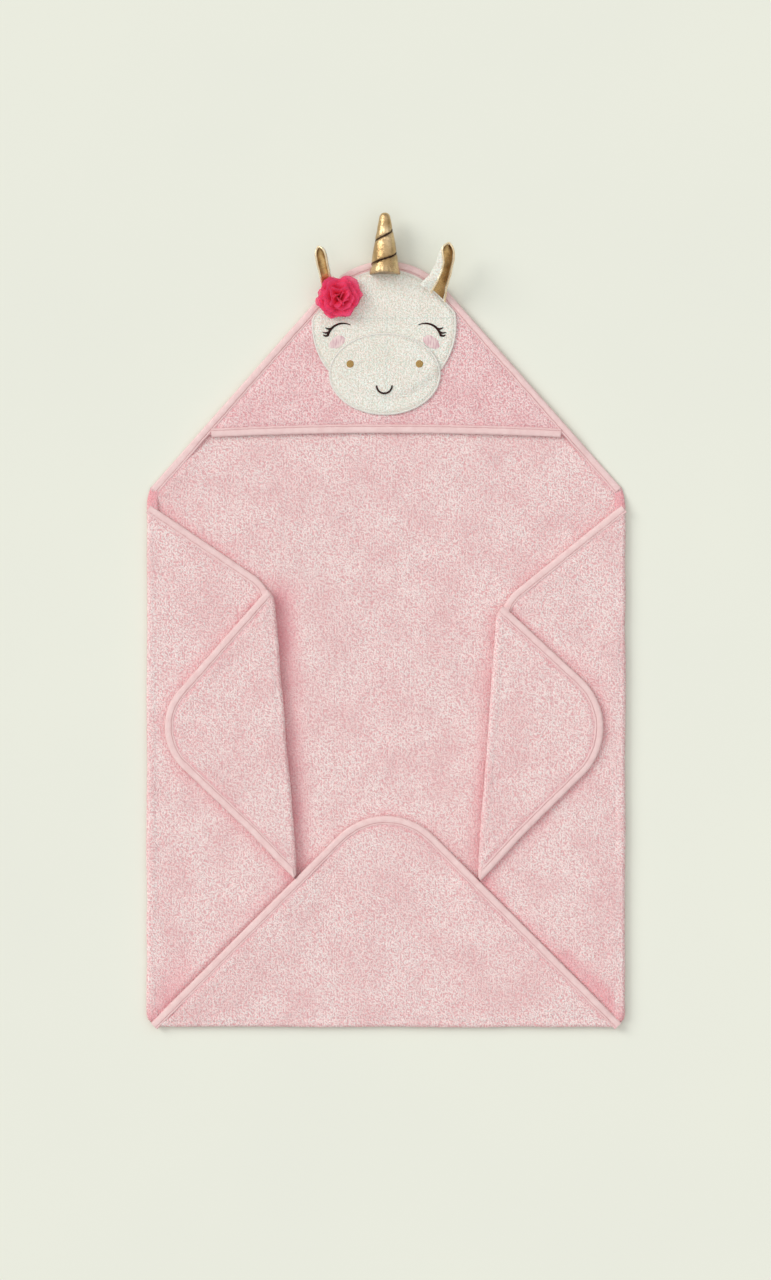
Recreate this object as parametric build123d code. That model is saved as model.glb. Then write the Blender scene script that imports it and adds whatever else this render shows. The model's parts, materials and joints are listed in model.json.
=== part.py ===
from build123d import *
import os
from math import atan, cos, degrees, hypot, radians, sin, sqrt, tan

# Hooded baby towel, laid flat with its corners folded in.
#
# A square of cotton terry has one corner covered by a triangular terry hood, appliqued with an animal's face.
# The hood carries a stuffed horn, two cupped ears and a fabric flower. Bias binding wraps every raw edge.
# The two side corners fold in and back again, and the bottom corner folds up.
#
# The origin is on the underside, where the open square's diagonals cross. +Y runs to the hood's corner and +Z
# up through the layers. Every soft layer is a plain plate, one plate for each flat stretch of cloth.

# ---- Driving dimensions, millimetres and degrees -----------------------------------------------------------
TOWEL_SIDE = 840.0                 # bound square, along one edge
TERRY = 4.0                        # one layer of terry with its loops
GAP = 1.0                          # air between two folded layers
SEAM = 0.05                        # clearance between pieces that are sewn together
FOLD_GAP = 0.5                     # a plate stops this far from the line it folds about

BINDING = 10.0                     # flat width of the bias binding
WRAP = 1.2                         # binding cloth past the terry's raw edge
CORE = 2.0                         # terry pressed flat inside the binding

FOLD_X = 267.5                     # side fold lines, from the middle
FOLD_Y = -316.5                    # bottom fold line
SIDE_TOP_Y = 272.0                 # where a side corner's upper edge leaves its fold
FLAP_GAP = 2.0                     # between a side corner and the bottom corner
TIP_LIFT = 2.5                     # a tip starts this far up its fold, to swing clear of the bottom corner
FLAP_RADIUS = 77.0                 # rounded bottom corner
SIDE_CORNERS = {                   # distances from the middle line, then Y
    "left": {"inner_top": (131.5, 180), "inner_low": (104, -150), "tip": (276, 16), "radius": 64},
    "right": {"inner_top": (129.5, 161), "inner_low": (107, -153), "tip": (280.5, 21), "radius": 76},
}

HOOD_HALF_ANGLE = 41.5             # at the hood's corner
HOOD_RADIUS = 88.0                 # rounded hood corner
MOUTH_Y = 354.0                    # hood's free edge, at its middle
MOUTH_SAG = 6.0                    # how much lower the free edge is at its ends
HOOD_CLEAR = 1.0                   # hood plates to the binding's raised rim
BEND_Y = 484.0                     # the hood lifts about this line when it opens

CLOTH = 3.0                        # applique cloth with its padding
STITCH = 0.6                       # satin stitch and embroidery above the cloth
STITCH_WIDTH = 3.0                 # satin stitch round an applique
THREAD_WIDTH = 1.6                 # an embroidered line
FACE = (-2.0, 476.0)               # middle of the face
FACE_RADIUS = 82.0
FACE_TOP_Y = 533.0                 # the face stops below the horn
MUZZLE = (-1.4, 420.7)
MUZZLE_HALF = (63.5, 46.6)
EYE_SHIFT = (46.5, -16.0)          # an eye's arc centre from the face's middle
EYE_RADIUS = 18.1
EYE_ARC = (116.0, 16.0)            # inner and outer end of the right eye's arc
LASHES = (38.0, 25.0, 15.0)        # angles at which lashes leave the arc
LASH = 6.5
CHEEK_SHIFT = (53.5, -19.0)
CHEEK_HALF = (10.5, 6.2)
CHEEK_TILT = 35.0
NOSTRIL_SHIFT = (39.3, 11.3)       # from the muzzle's middle
NOSTRIL_RADIUS = 4.3
SMILE_HALF = 8.8
SMILE_DROP = 9.2
SMILE_Y = 407.6

HORN_X = -1.3
HORN_Y = 537.0                     # the horn's seam and hinge line
HORN_LENGTH = 66.0
HORN_RADII = (17.0, 6.5)           # at the seam and at the tip
HORN_AXIS_Z = 18.0
HORN_TILT = 4.0                    # its tip lies this many degrees higher
HORN_SKIN = 0.9
HORN_CLEAR = (552.0, 9.4)          # the horn keeps off the towel's corner: to this Y, above this Z
WINDING_PITCH = 26.0
WINDING_TURNS = 1.5
WINDING_START = 8.4                # along the horn, on its left
WINDING_RADIUS = 0.7               # of the wound thread

EAR_RISE = 24.0                    # each ear's tip lies this many degrees above the towel
EAR_Z = 15.5                       # an ear's hinge line
EAR_CUP = 14.0                     # radius of the cupped ear
EAR_BACK = 2.5                     # terry at the back of the ear
EAR_FRONT = 0.8                    # lining at the front of the ear
EAR_HALF_WIDTHS = (6.0, 11.8)      # at the seam, and at the widest
EAR_WIDEST = 0.42                  # share of its length at which an ear is widest
EAR_NEAR_TIP = (0.85, 0.45)        # share of the length, and of the widest, near the tip
EARS = {
    "left": {"foot": (-62.1, 529.5), "towards": (-0.388, 0.921), "length": 41.0},
    "right": {"foot": (54.5, 517.5), "towards": (0.289, 0.957), "length": 58.0},
}

FLOWER = (-53.5, 508.0)
FLOWER_BUTTON = (8.0, 1.8)         # radius and height of the felt behind the petals
PETALS = {                         # radius of a ring of petals, its height, and how many it has
    "outer": (20.0, 5.0, 6),
    "middle": (16.0, 6.5, 5),
    "inner": (10.0, 8.0, 4),
}
PETAL_OVERLAP = 1.15               # petals wider than just touching
PETAL_ROOT = 1.6                   # a petal's length, in its own radii

HALF_DIAGONAL = TOWEL_SIDE / sqrt(2)
LAYER = TERRY + GAP
HOOD_SLOPE = tan(radians(HOOD_HALF_ANGLE))
SHOULDER_Y = HALF_DIAGONAL - FOLD_X / HOOD_SLOPE
MOUTH_END_Y = MOUTH_Y - MOUTH_SAG
MOUTH_HALF = (HALF_DIAGONAL - MOUTH_END_Y) * HOOD_SLOPE
MOUTH_RADIUS = (MOUTH_HALF ** 2 + MOUTH_SAG ** 2) / (2 * MOUTH_SAG)
FACE_Z = LAYER + TERRY + SEAM
FACE_STITCH_Z = FACE_Z + CLOTH + SEAM
MUZZLE_Z = FACE_STITCH_Z + STITCH + SEAM
MUZZLE_STITCH_Z = MUZZLE_Z + CLOTH + SEAM
FLOWER_Z = MUZZLE_Z
ABOVE_ALL = 2 * EAR_CUP + 8 * LAYER        # taller than any stack of layers


# ---- Outlines and plates -----------------------------------------------------------------------------------
def moved_edges(points, moves):
    """A counter-clockwise polygon with edge i, from point i to the next, moved inwards by moves[i]."""
    lines = []
    for i, (x, y) in enumerate(points):
        next_x, next_y = points[(i + 1) % len(points)]
        length = hypot(next_x - x, next_y - y)
        run_x, run_y = (next_x - x) / length, (next_y - y) / length
        lines.append((x - run_y * moves[i], y + run_x * moves[i], run_x, run_y))
    corners = []
    for i, (x, y, run_x, run_y) in enumerate(lines):
        before_x, before_y, before_run_x, before_run_y = lines[i - 1]
        cross = before_run_x * run_y - before_run_y * run_x
        reach = ((x - before_x) * run_y - (y - before_y) * run_x) / cross
        corners.append((before_x + before_run_x * reach, before_y + before_run_y * reach))
    return corners


def rounded(points, radii):
    """A polygon's face with corner i rounded by radii[i], where that isn't zero."""
    face = make_face(Polyline(*points, close=True).edges())
    for point, radius in zip(points, radii):
        if radius > 0:
            corner = face.vertices().sort_by_distance(Vector(*point))[0]
            face = fillet(corner, radius)
    return face


def plate(face, low, thickness):
    """A flat face raised into a plate above the height low."""
    return Pos(0, 0, low) * extrude(face, thickness)


def inset_face(points, bound, radii, inset):
    """A panel's face with its bound edges moved in; its folded edges stay where they are."""
    corners = moved_edges(points, [inset if is_bound else 0 for is_bound in bound])
    return rounded(corners, [max(radius - inset, 0) for radius in radii])


def bound_layer(face_at, low):
    """(terry, binding) of one flat layer, where face_at gives its face for an inset of its bound edges."""
    press = (TERRY - CORE) / 2
    binding = plate(face_at(0), low, TERRY) - plate(face_at(BINDING), low, TERRY)
    binding -= plate(face_at(WRAP), low + press, CORE)
    terry = plate(face_at(BINDING + SEAM), low, TERRY)
    terry += plate(face_at(WRAP + SEAM), low + press + SEAM, CORE - 2 * SEAM)
    return terry, binding


def bound_panel(points, bound, radii, low):
    """(terry, binding) of a polygon panel, cut back from the lines it folds about."""
    cut = moved_edges(points, [0 if is_bound else FOLD_GAP for is_bound in bound])
    return bound_layer(lambda inset: inset_face(cut, bound, radii, inset), low)


def band(low_y, high_y):
    """A wide box between two Y values, to cut a hood layer at its bend."""
    return Pos(0, (low_y + high_y) / 2, 0) * Box(2 * MOUTH_HALF, high_y - low_y, ABOVE_ALL)


def below_bend(solid):
    """The part of a hood layer between its free edge and the bend."""
    return solid & band(MOUTH_END_Y - BINDING, BEND_Y - FOLD_GAP / 2)


def above_bend(solid):
    """The part of a hood layer between the bend and the hood's corner."""
    return solid & band(BEND_Y + FOLD_GAP / 2, HALF_DIAGONAL)


# ---- Towel -------------------------------------------------------------------------------------------------
def hood_side_face(inset):
    """The hood's corner down to a level line, with its two sewn sides moved in."""
    points = [(0, HALF_DIAGONAL), (-MOUTH_HALF, MOUTH_END_Y), (MOUTH_HALF, MOUTH_END_Y)]
    return inset_face(points, [True, False, True], [HOOD_RADIUS, 0, 0], inset)


def back_panel():
    """The towel's flat middle and its binding, whose rim stands up around the hood's two sewn sides."""
    points = [
        (0, HALF_DIAGONAL),
        (-FOLD_X, SHOULDER_Y),
        (-FOLD_X, FOLD_Y),
        (FOLD_X, FOLD_Y),
        (FOLD_X, SHOULDER_Y),
    ]
    terry, binding = bound_panel(points, [True, False, False, False, True], [HOOD_RADIUS, 0, 0, 0, 0], 0)
    rim = plate(hood_side_face(0) - hood_side_face(BINDING), TERRY, LAYER)
    return terry, binding + rim


def side_corner(shape):
    """(wing terry, wing binding, tip terry, tip binding) of a left corner, folded in and half of it back."""
    top_x, top_y = shape["inner_top"]
    low_x, low_y = shape["inner_low"]
    tip_x, tip_y = shape["tip"]
    corner_y = FOLD_Y + FLAP_GAP * sqrt(2)
    wing = [(-FOLD_X, SIDE_TOP_Y), (-FOLD_X, corner_y), (-low_x, low_y), (-top_x, top_y)]
    wing_pieces = bound_panel(wing, [False, True, False, True], [0, 0, 0, 0], LAYER)
    fold_length = hypot(top_x - low_x, top_y - low_y)
    lifted_x = low_x + (top_x - low_x) * TIP_LIFT / fold_length
    lifted_y = low_y + (top_y - low_y) * TIP_LIFT / fold_length
    tip = [(-top_x, top_y), (-tip_x, tip_y), (-lifted_x, lifted_y)]
    tip_pieces = bound_panel(tip, [True, True, False], [0, shape["radius"], 0], 2 * LAYER)
    return (*wing_pieces, *tip_pieces)


def bottom_flap():
    """The bottom corner, folded up over the middle between the two side corners."""
    points = [(-FOLD_X, FOLD_Y), (FOLD_X, FOLD_Y), (0, FOLD_Y + FOLD_X)]
    return bound_panel(points, [False, True, True], [0, 0, FLAP_RADIUS], LAYER)


# ---- Hood --------------------------------------------------------------------------------------------------
def mouth_circle(inset):
    """The large circle whose top is the hood's free edge, grown by inset."""
    return Pos(0, MOUTH_Y - MOUTH_RADIUS) * Circle(MOUTH_RADIUS + inset)


def hood_layer():
    """(terry, mouth binding) of the hood's cloth, inside the binding that holds its sides."""
    inside = BINDING + HOOD_CLEAR
    return bound_layer(lambda inset: hood_side_face(inside) - mouth_circle(inset), LAYER)


def face_shape(inset):
    """The round face cut off by the hood's sides and below the horn."""
    disc = Pos(*FACE) * Circle(FACE_RADIUS - inset)
    top = Pos(FACE[0], FACE_TOP_Y - inset - FACE_RADIUS) * Rectangle(2 * FACE_RADIUS, 2 * FACE_RADIUS)
    return disc & top & hood_side_face(BINDING + HOOD_CLEAR + inset)


def muzzle_shape(inset):
    """The oval muzzle that overlaps the lower face."""
    return Pos(*MUZZLE) * Ellipse(MUZZLE_HALF[0] - inset, MUZZLE_HALF[1] - inset)


def stitched_edge(shape_at, low):
    """Satin stitch around the edge of an applique."""
    return plate(shape_at(0) - shape_at(STITCH_WIDTH), low, STITCH)


def eye(side):
    """A closed eye with three lashes; side is 1 on the right and -1 on the left."""
    centre_x, centre_y = EYE_SHIFT
    start, end = EYE_ARC
    lines = trace(CenterArc(EYE_SHIFT, EYE_RADIUS, end, start - end), THREAD_WIDTH)
    for angle in LASHES:
        out_x, out_y = cos(radians(angle)), sin(radians(angle))
        root = (centre_x + EYE_RADIUS * out_x, centre_y + EYE_RADIUS * out_y)
        lines += trace(Line(root, (root[0] + LASH, root[1] + LASH * out_y / 2)), THREAD_WIDTH)
    return plate(on_face(lines, side), FACE_STITCH_Z, STITCH)


def on_face(shape, side):
    """A shape drawn for the right half of the face, put on the given side of the face's middle."""
    if side < 0:
        shape = mirror(shape, about=Plane.YZ)
    return Pos(*FACE) * shape


def cheek(side):
    """A tilted oval of embroidery below an eye."""
    oval = Pos(*CHEEK_SHIFT) * Rot(0, 0, -CHEEK_TILT) * Ellipse(*CHEEK_HALF)
    return plate(on_face(oval, side), FACE_STITCH_Z, STITCH)


def nostril(side):
    """A round dot of embroidery on the muzzle."""
    dot = Pos(MUZZLE[0] + side * NOSTRIL_SHIFT[0], MUZZLE[1] + NOSTRIL_SHIFT[1]) * Circle(NOSTRIL_RADIUS)
    return plate(dot, MUZZLE_STITCH_Z, STITCH)


def smile():
    """A short curved line of embroidery low on the muzzle."""
    left, right = (FACE[0] - SMILE_HALF, SMILE_Y), (FACE[0] + SMILE_HALF, SMILE_Y)
    arc = ThreePointArc(left, (FACE[0], SMILE_Y - SMILE_DROP), right)
    return plate(trace(arc, THREAD_WIDTH), MUZZLE_STITCH_Z, STITCH)


# ---- Horn --------------------------------------------------------------------------------------------------
def horn_body(skin):
    """A round-tipped cone along +Z, inset by skin all round except at its open seam."""
    base, tip = HORN_RADII[0] - skin, HORN_RADII[1] - skin
    shoulder = HORN_LENGTH - HORN_RADII[1]
    half = tip * sqrt(0.5)
    outline = [
        Line((0, 0), (base, 0)),
        Line((base, 0), (tip, shoulder)),
        ThreePointArc((tip, shoulder), (half, shoulder + half), (0, shoulder + tip)),
        Line((0, shoulder + tip), (0, 0)),
    ]
    return revolve(Plane.XZ * make_face(outline), Axis.Z)


def winding():
    """The thread wound round the horn, just outside its skin."""
    shrink = (HORN_RADII[0] - HORN_RADII[1]) / (HORN_LENGTH - HORN_RADII[1])
    start = HORN_RADII[0] - shrink * WINDING_START + WINDING_RADIUS + SEAM
    taper = -degrees(atan(shrink))
    path = Helix(WINDING_PITCH, WINDING_PITCH * WINDING_TURNS, start, cone_angle=taper)
    profile = Plane(origin=path @ 0, z_dir=path % 0) * Circle(WINDING_RADIUS)
    return Pos(0, 0, WINDING_START) * Rot(0, 0, 180) * sweep(profile, path)


def horn_place(solid):
    """Lay a horn piece along +Y at the towel's corner, clear of the corner's own layers."""
    laid = Pos(HORN_X, HORN_Y, HORN_AXIS_Z) * Rot(HORN_TILT - 90, 0, 0) * solid
    clear_y, clear_z = HORN_CLEAR
    corner = Pos(HORN_X, clear_y - HORN_LENGTH, clear_z - HORN_LENGTH) * Box(
        2 * HORN_LENGTH, 2 * HORN_LENGTH, 2 * HORN_LENGTH
    )
    seam = Pos(HORN_X, HORN_Y - HORN_LENGTH, 0) * Box(2 * HORN_LENGTH, 2 * HORN_LENGTH, 4 * HORN_LENGTH)
    return laid - corner - seam


# ---- Ears and flower ---------------------------------------------------------------------------------------
def leaf(length):
    """An ear's outline along +X: narrow at the seam, widest near the middle, pointed at the tip."""
    seam, widest = EAR_HALF_WIDTHS
    far, narrow = EAR_NEAR_TIP
    upper = [(0, seam), (length * EAR_WIDEST, widest), (length * far, widest * narrow), (length, 0)]
    edge = Spline(*upper)
    return make_face([edge, mirror(edge, about=Plane.XZ), Line((0, -seam), (0, seam))])


def cup(outer, inner, length):
    """A trough along +X between two radii about a line above the ear."""
    ring = Circle(outer) - Circle(inner)
    trough = extrude(Plane.YZ * (Pos(0, EAR_CUP) * ring), length)
    lower = Pos(length / 2, 0, EAR_CUP / 2) * Box(length, 2 * EAR_CUP, EAR_CUP)
    return trough & lower


def ear(shape):
    """(back, lining) of one cupped ear, opening upwards."""
    length = shape["length"]
    foot = (*shape["foot"], EAR_Z)
    out_x, out_y = shape["towards"]
    rise_cos, rise_sin = cos(radians(EAR_RISE)), sin(radians(EAR_RISE))
    along = (out_x * rise_cos, out_y * rise_cos, rise_sin)
    up = (-out_x * rise_sin, -out_y * rise_sin, rise_cos)
    place = Plane(origin=foot, x_dir=along, z_dir=up).location
    cutter = extrude(leaf(length), 2 * EAR_CUP)
    back = cup(EAR_CUP, EAR_CUP - EAR_BACK, length) & cutter
    inner = EAR_CUP - EAR_BACK - SEAM
    lining = cup(inner, inner - EAR_FRONT, length) & cutter
    return place * back, place * lining


def petal_ring(radius, height, count):
    """A ring of rounded petals that flare upwards, as one cut of cloth."""
    half_turn = sin(radians(180 / count))
    lobe = PETAL_OVERLAP * radius * half_turn / (1 + half_turn)
    ring = Circle(radius - PETAL_ROOT * lobe)
    for i in range(count):
        ring += Rot(0, 0, 360 * i / count) * Pos(radius - lobe, 0) * Circle(lobe)
    return extrude(ring, height)


def flower():
    """The flower's felt button and its petal rings, stacked upwards."""
    button_radius, button_height = FLOWER_BUTTON
    pieces = {"flower_button": Pos(*FLOWER, FLOWER_Z) * extrude(Circle(button_radius), button_height)}
    low = FLOWER_Z + button_height + SEAM
    for name, (radius, height, count) in PETALS.items():
        pieces[f"flower_{name}_petals"] = Pos(*FLOWER, low) * petal_ring(radius, height, count)
        low += height + SEAM
    return pieces


# ---- Assembly ----------------------------------------------------------------------------------------------
def towel_pieces():
    """The towel's folded cloth and its binding."""
    pieces = {}
    pieces["back_panel"], pieces["crown_binding"] = back_panel()
    pieces["bottom_flap_panel"], pieces["bottom_flap_binding"] = bottom_flap()
    for side, shape in SIDE_CORNERS.items():
        names = ("wing_panel", "wing_binding", "tip_panel", "tip_binding")
        for name, solid in zip(names, side_corner(shape)):
            if side == "right":
                solid = mirror(solid, about=Plane.YZ)
            pieces[f"{side}_{name}"] = solid
    return pieces


def hood_pieces():
    """The hood's cloth, its free edge, and the flat face sewn on it."""
    terry, mouth = hood_layer()
    face = plate(face_shape(0), FACE_Z, CLOTH)
    face_stitch = stitched_edge(face_shape, FACE_STITCH_Z)
    pieces = {
        "hood_crown_panel": above_bend(terry),
        "hood_front_panel": below_bend(terry),
        "hood_mouth_binding": mouth,
        "face_top_applique": above_bend(face),
        "face_front_applique": below_bend(face),
        "face_top_stitching": above_bend(face_stitch),
        "face_front_stitching": below_bend(face_stitch),
        "muzzle_applique": plate(muzzle_shape(0), MUZZLE_Z, CLOTH),
        "muzzle_stitching": stitched_edge(muzzle_shape, MUZZLE_STITCH_Z),
        "smile": smile(),
    }
    for side, sign in (("left", -1), ("right", 1)):
        pieces[f"{side}_eye"] = eye(sign)
        pieces[f"{side}_cheek"] = cheek(sign)
        pieces[f"{side}_nostril"] = nostril(sign)
    return pieces


def trim_pieces():
    """The horn, the ears and the flower."""
    pieces = {
        "horn_skin": horn_place(horn_body(0) - horn_body(HORN_SKIN)),
        "horn_stuffing": horn_place(horn_body(HORN_SKIN + SEAM)),
        "horn_winding": horn_place(winding()),
    }
    for side, shape in EARS.items():
        pieces[f"{side}_ear_back"], pieces[f"{side}_ear_lining"] = ear(shape)
    pieces.update(flower())
    return pieces


if __name__ == "__main__":
    os.makedirs("parts", exist_ok=True)
    for node, solid in {**towel_pieces(), **hood_pieces(), **trim_pieces()}.items():
        export_step(solid, f"parts/{node}.step")
        print(node, len(solid.solids()), round(solid.volume))
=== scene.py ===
"""Looks of the folded hooded baby towel: terry, bindings, plush face, gold horn and ears, chiffon flower.

Lengths here are in millimetres, on the frame's own axes, and become metres when a mesh is made.
Places come from the CAD nodes' vertices and from the joints' lines.
"""
import json
import math

import bmesh
import bpy
import numpy as np
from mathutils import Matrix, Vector
from mathutils.geometry import delaunay_2d_cdt

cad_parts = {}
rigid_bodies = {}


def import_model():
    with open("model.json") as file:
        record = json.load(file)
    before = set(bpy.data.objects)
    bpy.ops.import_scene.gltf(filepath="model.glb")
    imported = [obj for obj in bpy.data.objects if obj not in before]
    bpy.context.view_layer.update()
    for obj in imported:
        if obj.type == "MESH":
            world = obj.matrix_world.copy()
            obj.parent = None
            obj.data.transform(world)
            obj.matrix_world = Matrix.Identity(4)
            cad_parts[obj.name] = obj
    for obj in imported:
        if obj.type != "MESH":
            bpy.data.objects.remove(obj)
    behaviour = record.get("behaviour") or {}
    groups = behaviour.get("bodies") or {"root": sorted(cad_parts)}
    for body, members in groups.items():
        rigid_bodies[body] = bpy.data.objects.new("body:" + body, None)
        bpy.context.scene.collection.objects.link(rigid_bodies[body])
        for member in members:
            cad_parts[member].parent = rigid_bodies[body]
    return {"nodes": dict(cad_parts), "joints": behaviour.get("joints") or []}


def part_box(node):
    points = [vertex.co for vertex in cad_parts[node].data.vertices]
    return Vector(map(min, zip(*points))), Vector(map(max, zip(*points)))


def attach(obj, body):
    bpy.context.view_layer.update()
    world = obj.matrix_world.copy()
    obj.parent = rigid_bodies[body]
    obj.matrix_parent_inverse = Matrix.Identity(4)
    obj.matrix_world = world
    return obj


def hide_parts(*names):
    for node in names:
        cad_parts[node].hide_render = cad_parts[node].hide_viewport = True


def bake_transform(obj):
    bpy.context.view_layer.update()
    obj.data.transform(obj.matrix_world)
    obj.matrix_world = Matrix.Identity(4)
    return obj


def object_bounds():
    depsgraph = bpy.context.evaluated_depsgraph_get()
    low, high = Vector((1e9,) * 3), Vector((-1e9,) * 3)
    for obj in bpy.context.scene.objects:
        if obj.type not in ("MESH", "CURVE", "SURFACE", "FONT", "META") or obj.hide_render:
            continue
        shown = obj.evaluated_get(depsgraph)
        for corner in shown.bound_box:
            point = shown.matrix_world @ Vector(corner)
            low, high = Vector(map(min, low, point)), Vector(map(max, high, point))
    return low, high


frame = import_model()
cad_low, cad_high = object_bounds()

STEP = 2.1      # distance between points on terry
PATH_STEP = 3.0                        # distance between sections of a binding
OUTLINE_STEP = 4.0                     # distance between points of an outline while its shape is worked out
ON_FOLD = 1.0                          # a point this close to a fold's line lies on the fold
BINDING = 10.0                         # flat width of the bias binding
BOUND_INSET = 3.0                      # terry ends this far inside its bound edges, and almost at its folds
STITCH_PITCH, STITCH_SIDES = 3.3, 5
PILE = 0.30                            # height of the terry's loops about their mean
SWELL = 0.75                           # slow rise and fall of a cloth that lies loosely
CORNER_ROUND = 12.0                    # a fold's roll dies away over this length at each end
FOLD_REACH = 8.0                       # a fold's roll laps this far over its two panels
ARC_POINTS = 15                        # points round a fold's outer half
MOST_CURVE = 9.0                       # a roll follows its panel's outline this far from the fold's line
TIP_STRETCH = 4.6                      # how much further each tip reaches down its fold
STRETCH_REACH = 80.0                   # the tip's outline gives way over this distance
WING_CORNERS = {"left": 21.0, "right": 24.0}     # each side corner's inner corner is rounded over this length
OVERLAP = 11.0                         # width of each side corner that is tucked under the bottom flap
OVERLAP_RISE = 2.3                     # how far the flap's edge rises over it
OVERLAP_PRESS = 0.55                   # how much of its thickness the tucked cloth loses
SOFT = 0.35                            # a side corner's binding, and the terry beside it, get this share of the painted shade at the seam
DROOP = 1.1                            # how far a folded corner's binding sinks towards the cloth below it
RIM_RISE = 4.2                         # how much thicker the hood's sewn edge is than one layer
SATIN_WIDTH = 2.3                      # satin stitch round the appliques
FACE_PAD = 2.7                         # each applique stands this far above the cloth below it
HOOD_HELD = 12.0                       # width of the hood's strip that would stay with its sewn edge (worked out in lift, not used)
HOOD_FREE = 112.0                      # this far from the sewn edge the hood would lift fully (worked out in lift, not used)


# ---- Plain geometry ----------------------------------------------------------------------------------------
def smooth(t):
    t = np.clip(t, 0, 1)
    return t * t * (3 - 2 * t)


def bell(x, width):
    return np.exp(-(x / width) ** 2)


def quarter_round(t, least=0.0):
    """Rises from 'least' to 1 like a quarter circle while t runs from 0 to 1."""
    return np.sqrt(np.clip(1 - (1 - np.clip(t, 0, 1)) ** 2, least, 1))


def unit(vectors):
    return vectors / np.maximum(np.linalg.norm(vectors, axis=-1, keepdims=True), 1e-9)


def lattice(ix, iy, seed):
    """A repeatable value from -1 to 1 for each whole-number point."""
    h = (ix * 374761393 + iy * 668265263 + seed * 1442695) & 0xFFFFFFFF
    h = ((h ^ (h >> 13)) * 1274126177) & 0xFFFFFFFF
    return ((h ^ (h >> 16)) & 0xFFFF) / 32767.5 - 1


def noise(x, y, cell, seed):
    """Smooth noise from -1 to 1 whose features are about one cell wide."""
    gx, gy = x / cell, y / cell
    ix, iy = np.floor(gx).astype(np.int64), np.floor(gy).astype(np.int64)
    fx, fy = smooth(gx - ix), smooth(gy - iy)
    low = lattice(ix, iy, seed) * (1 - fx) + lattice(ix + 1, iy, seed) * fx
    high = lattice(ix, iy + 1, seed) * (1 - fx) + lattice(ix + 1, iy + 1, seed) * fx
    return low * (1 - fy) + high * fy


def noise_along(length, cell, seed):
    return noise(length, length * 0, cell, seed)


def node_points(*nodes):
    """All vertices of some CAD nodes, in millimetres."""
    return np.array([v.co for n in nodes for v in frame["nodes"][n].data.vertices], float) * 1000


def box_mm(node):
    """(lowest, highest) corner of a CAD node."""
    return [np.array(corner) * 1000 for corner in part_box(node)]


def hull(points):
    """Convex outline of points seen from above, counter-clockwise."""
    points = sorted({(round(float(x), 3), round(float(y), 3)) for x, y in points[:, :2]})

    def chain(run):
        kept = []
        for p in run:
            while len(kept) > 1:
                (ax, ay), (bx, by) = kept[-2:]
                if (bx - ax) * (p[1] - ay) - (by - ay) * (p[0] - ax) > 1e-6:
                    break
                kept.pop()
            kept.append(p)
        return kept[:-1]

    return np.array(chain(points) + chain(points[::-1]))


def resample(path, step, closed=False):
    """Points along a path, at most one step apart, with its corners kept."""
    path = np.asarray(path, float)
    ends = np.roll(path, -1, axis=0) if closed else path[1:]
    out = []
    for a, b in zip(path, ends):
        count = max(1, int(math.ceil(np.hypot(*(b - a)) / step)))
        out.extend(a + (b - a) * k / count for k in range(count))
    return np.array(out if closed else out + [path[-1]])


def distance(xy, paths):
    """Distance from each point to the nearest of some open paths."""
    best = np.full(len(xy), 1e9)
    for path in paths:
        for a, b in zip(path[:-1], path[1:]):
            run = b - a
            along = np.clip(((xy - a) @ run) / max(run @ run, 1e-9), 0, 1)
            best = np.minimum(best, np.hypot(*(xy - a - along[:, None] * run).T))
    return best


def edge_distance(xy, outline):
    """Distance from each point to a closed outline."""
    return distance(xy, [np.vstack([outline, outline[:1]])])


def inside(xy, outline):
    """True for each point inside a closed outline."""
    x, y = xy.T
    odd = np.zeros(len(xy), bool)
    for (ax, ay), (bx, by) in zip(outline, np.roll(outline, -1, axis=0)):
        if ay != by:
            odd ^= ((ay > y) != (by > y)) & (x < ax + (y - ay) / (by - ay) * (bx - ax))
    return odd


def offset(outline, inwards):
    """A closed counter-clockwise outline moved inwards point by point."""
    ahead = unit(np.roll(outline, -1, axis=0) - outline)
    behind = unit(outline - np.roll(outline, 1, axis=0))
    both = ahead + behind
    normal = unit(np.stack([-both[:, 1], both[:, 0]], 1))
    spread = np.maximum(np.abs(np.sum(normal * np.stack([-ahead[:, 1], ahead[:, 0]], 1), 1)), 0.35)
    return outline + normal * (inwards / spread)[:, None]


def clipped(outline, point, normal):
    """An outline cut to the side of a line that its normal points to."""
    point, normal = np.array(point, float), np.array(normal, float)
    kept = []
    for a, b in zip(outline, np.roll(outline, -1, axis=0)):
        da, db = (a - point) @ normal, (b - point) @ normal
        if da >= 0:
            kept.append(a)
        if (da >= 0) != (db >= 0):
            kept.append(a + (b - a) * da / (da - db))
    return np.array(kept)


def inward_normals(path):
    """Left-hand normals of an open path, which point inwards along a counter-clockwise outline."""
    run = unit(np.gradient(path, axis=0))
    return np.stack([-run[:, 1], run[:, 0]], 1)


def path_length(path):
    return np.concatenate([[0], np.cumsum(np.hypot(*np.diff(path, axis=0).T))])


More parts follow.
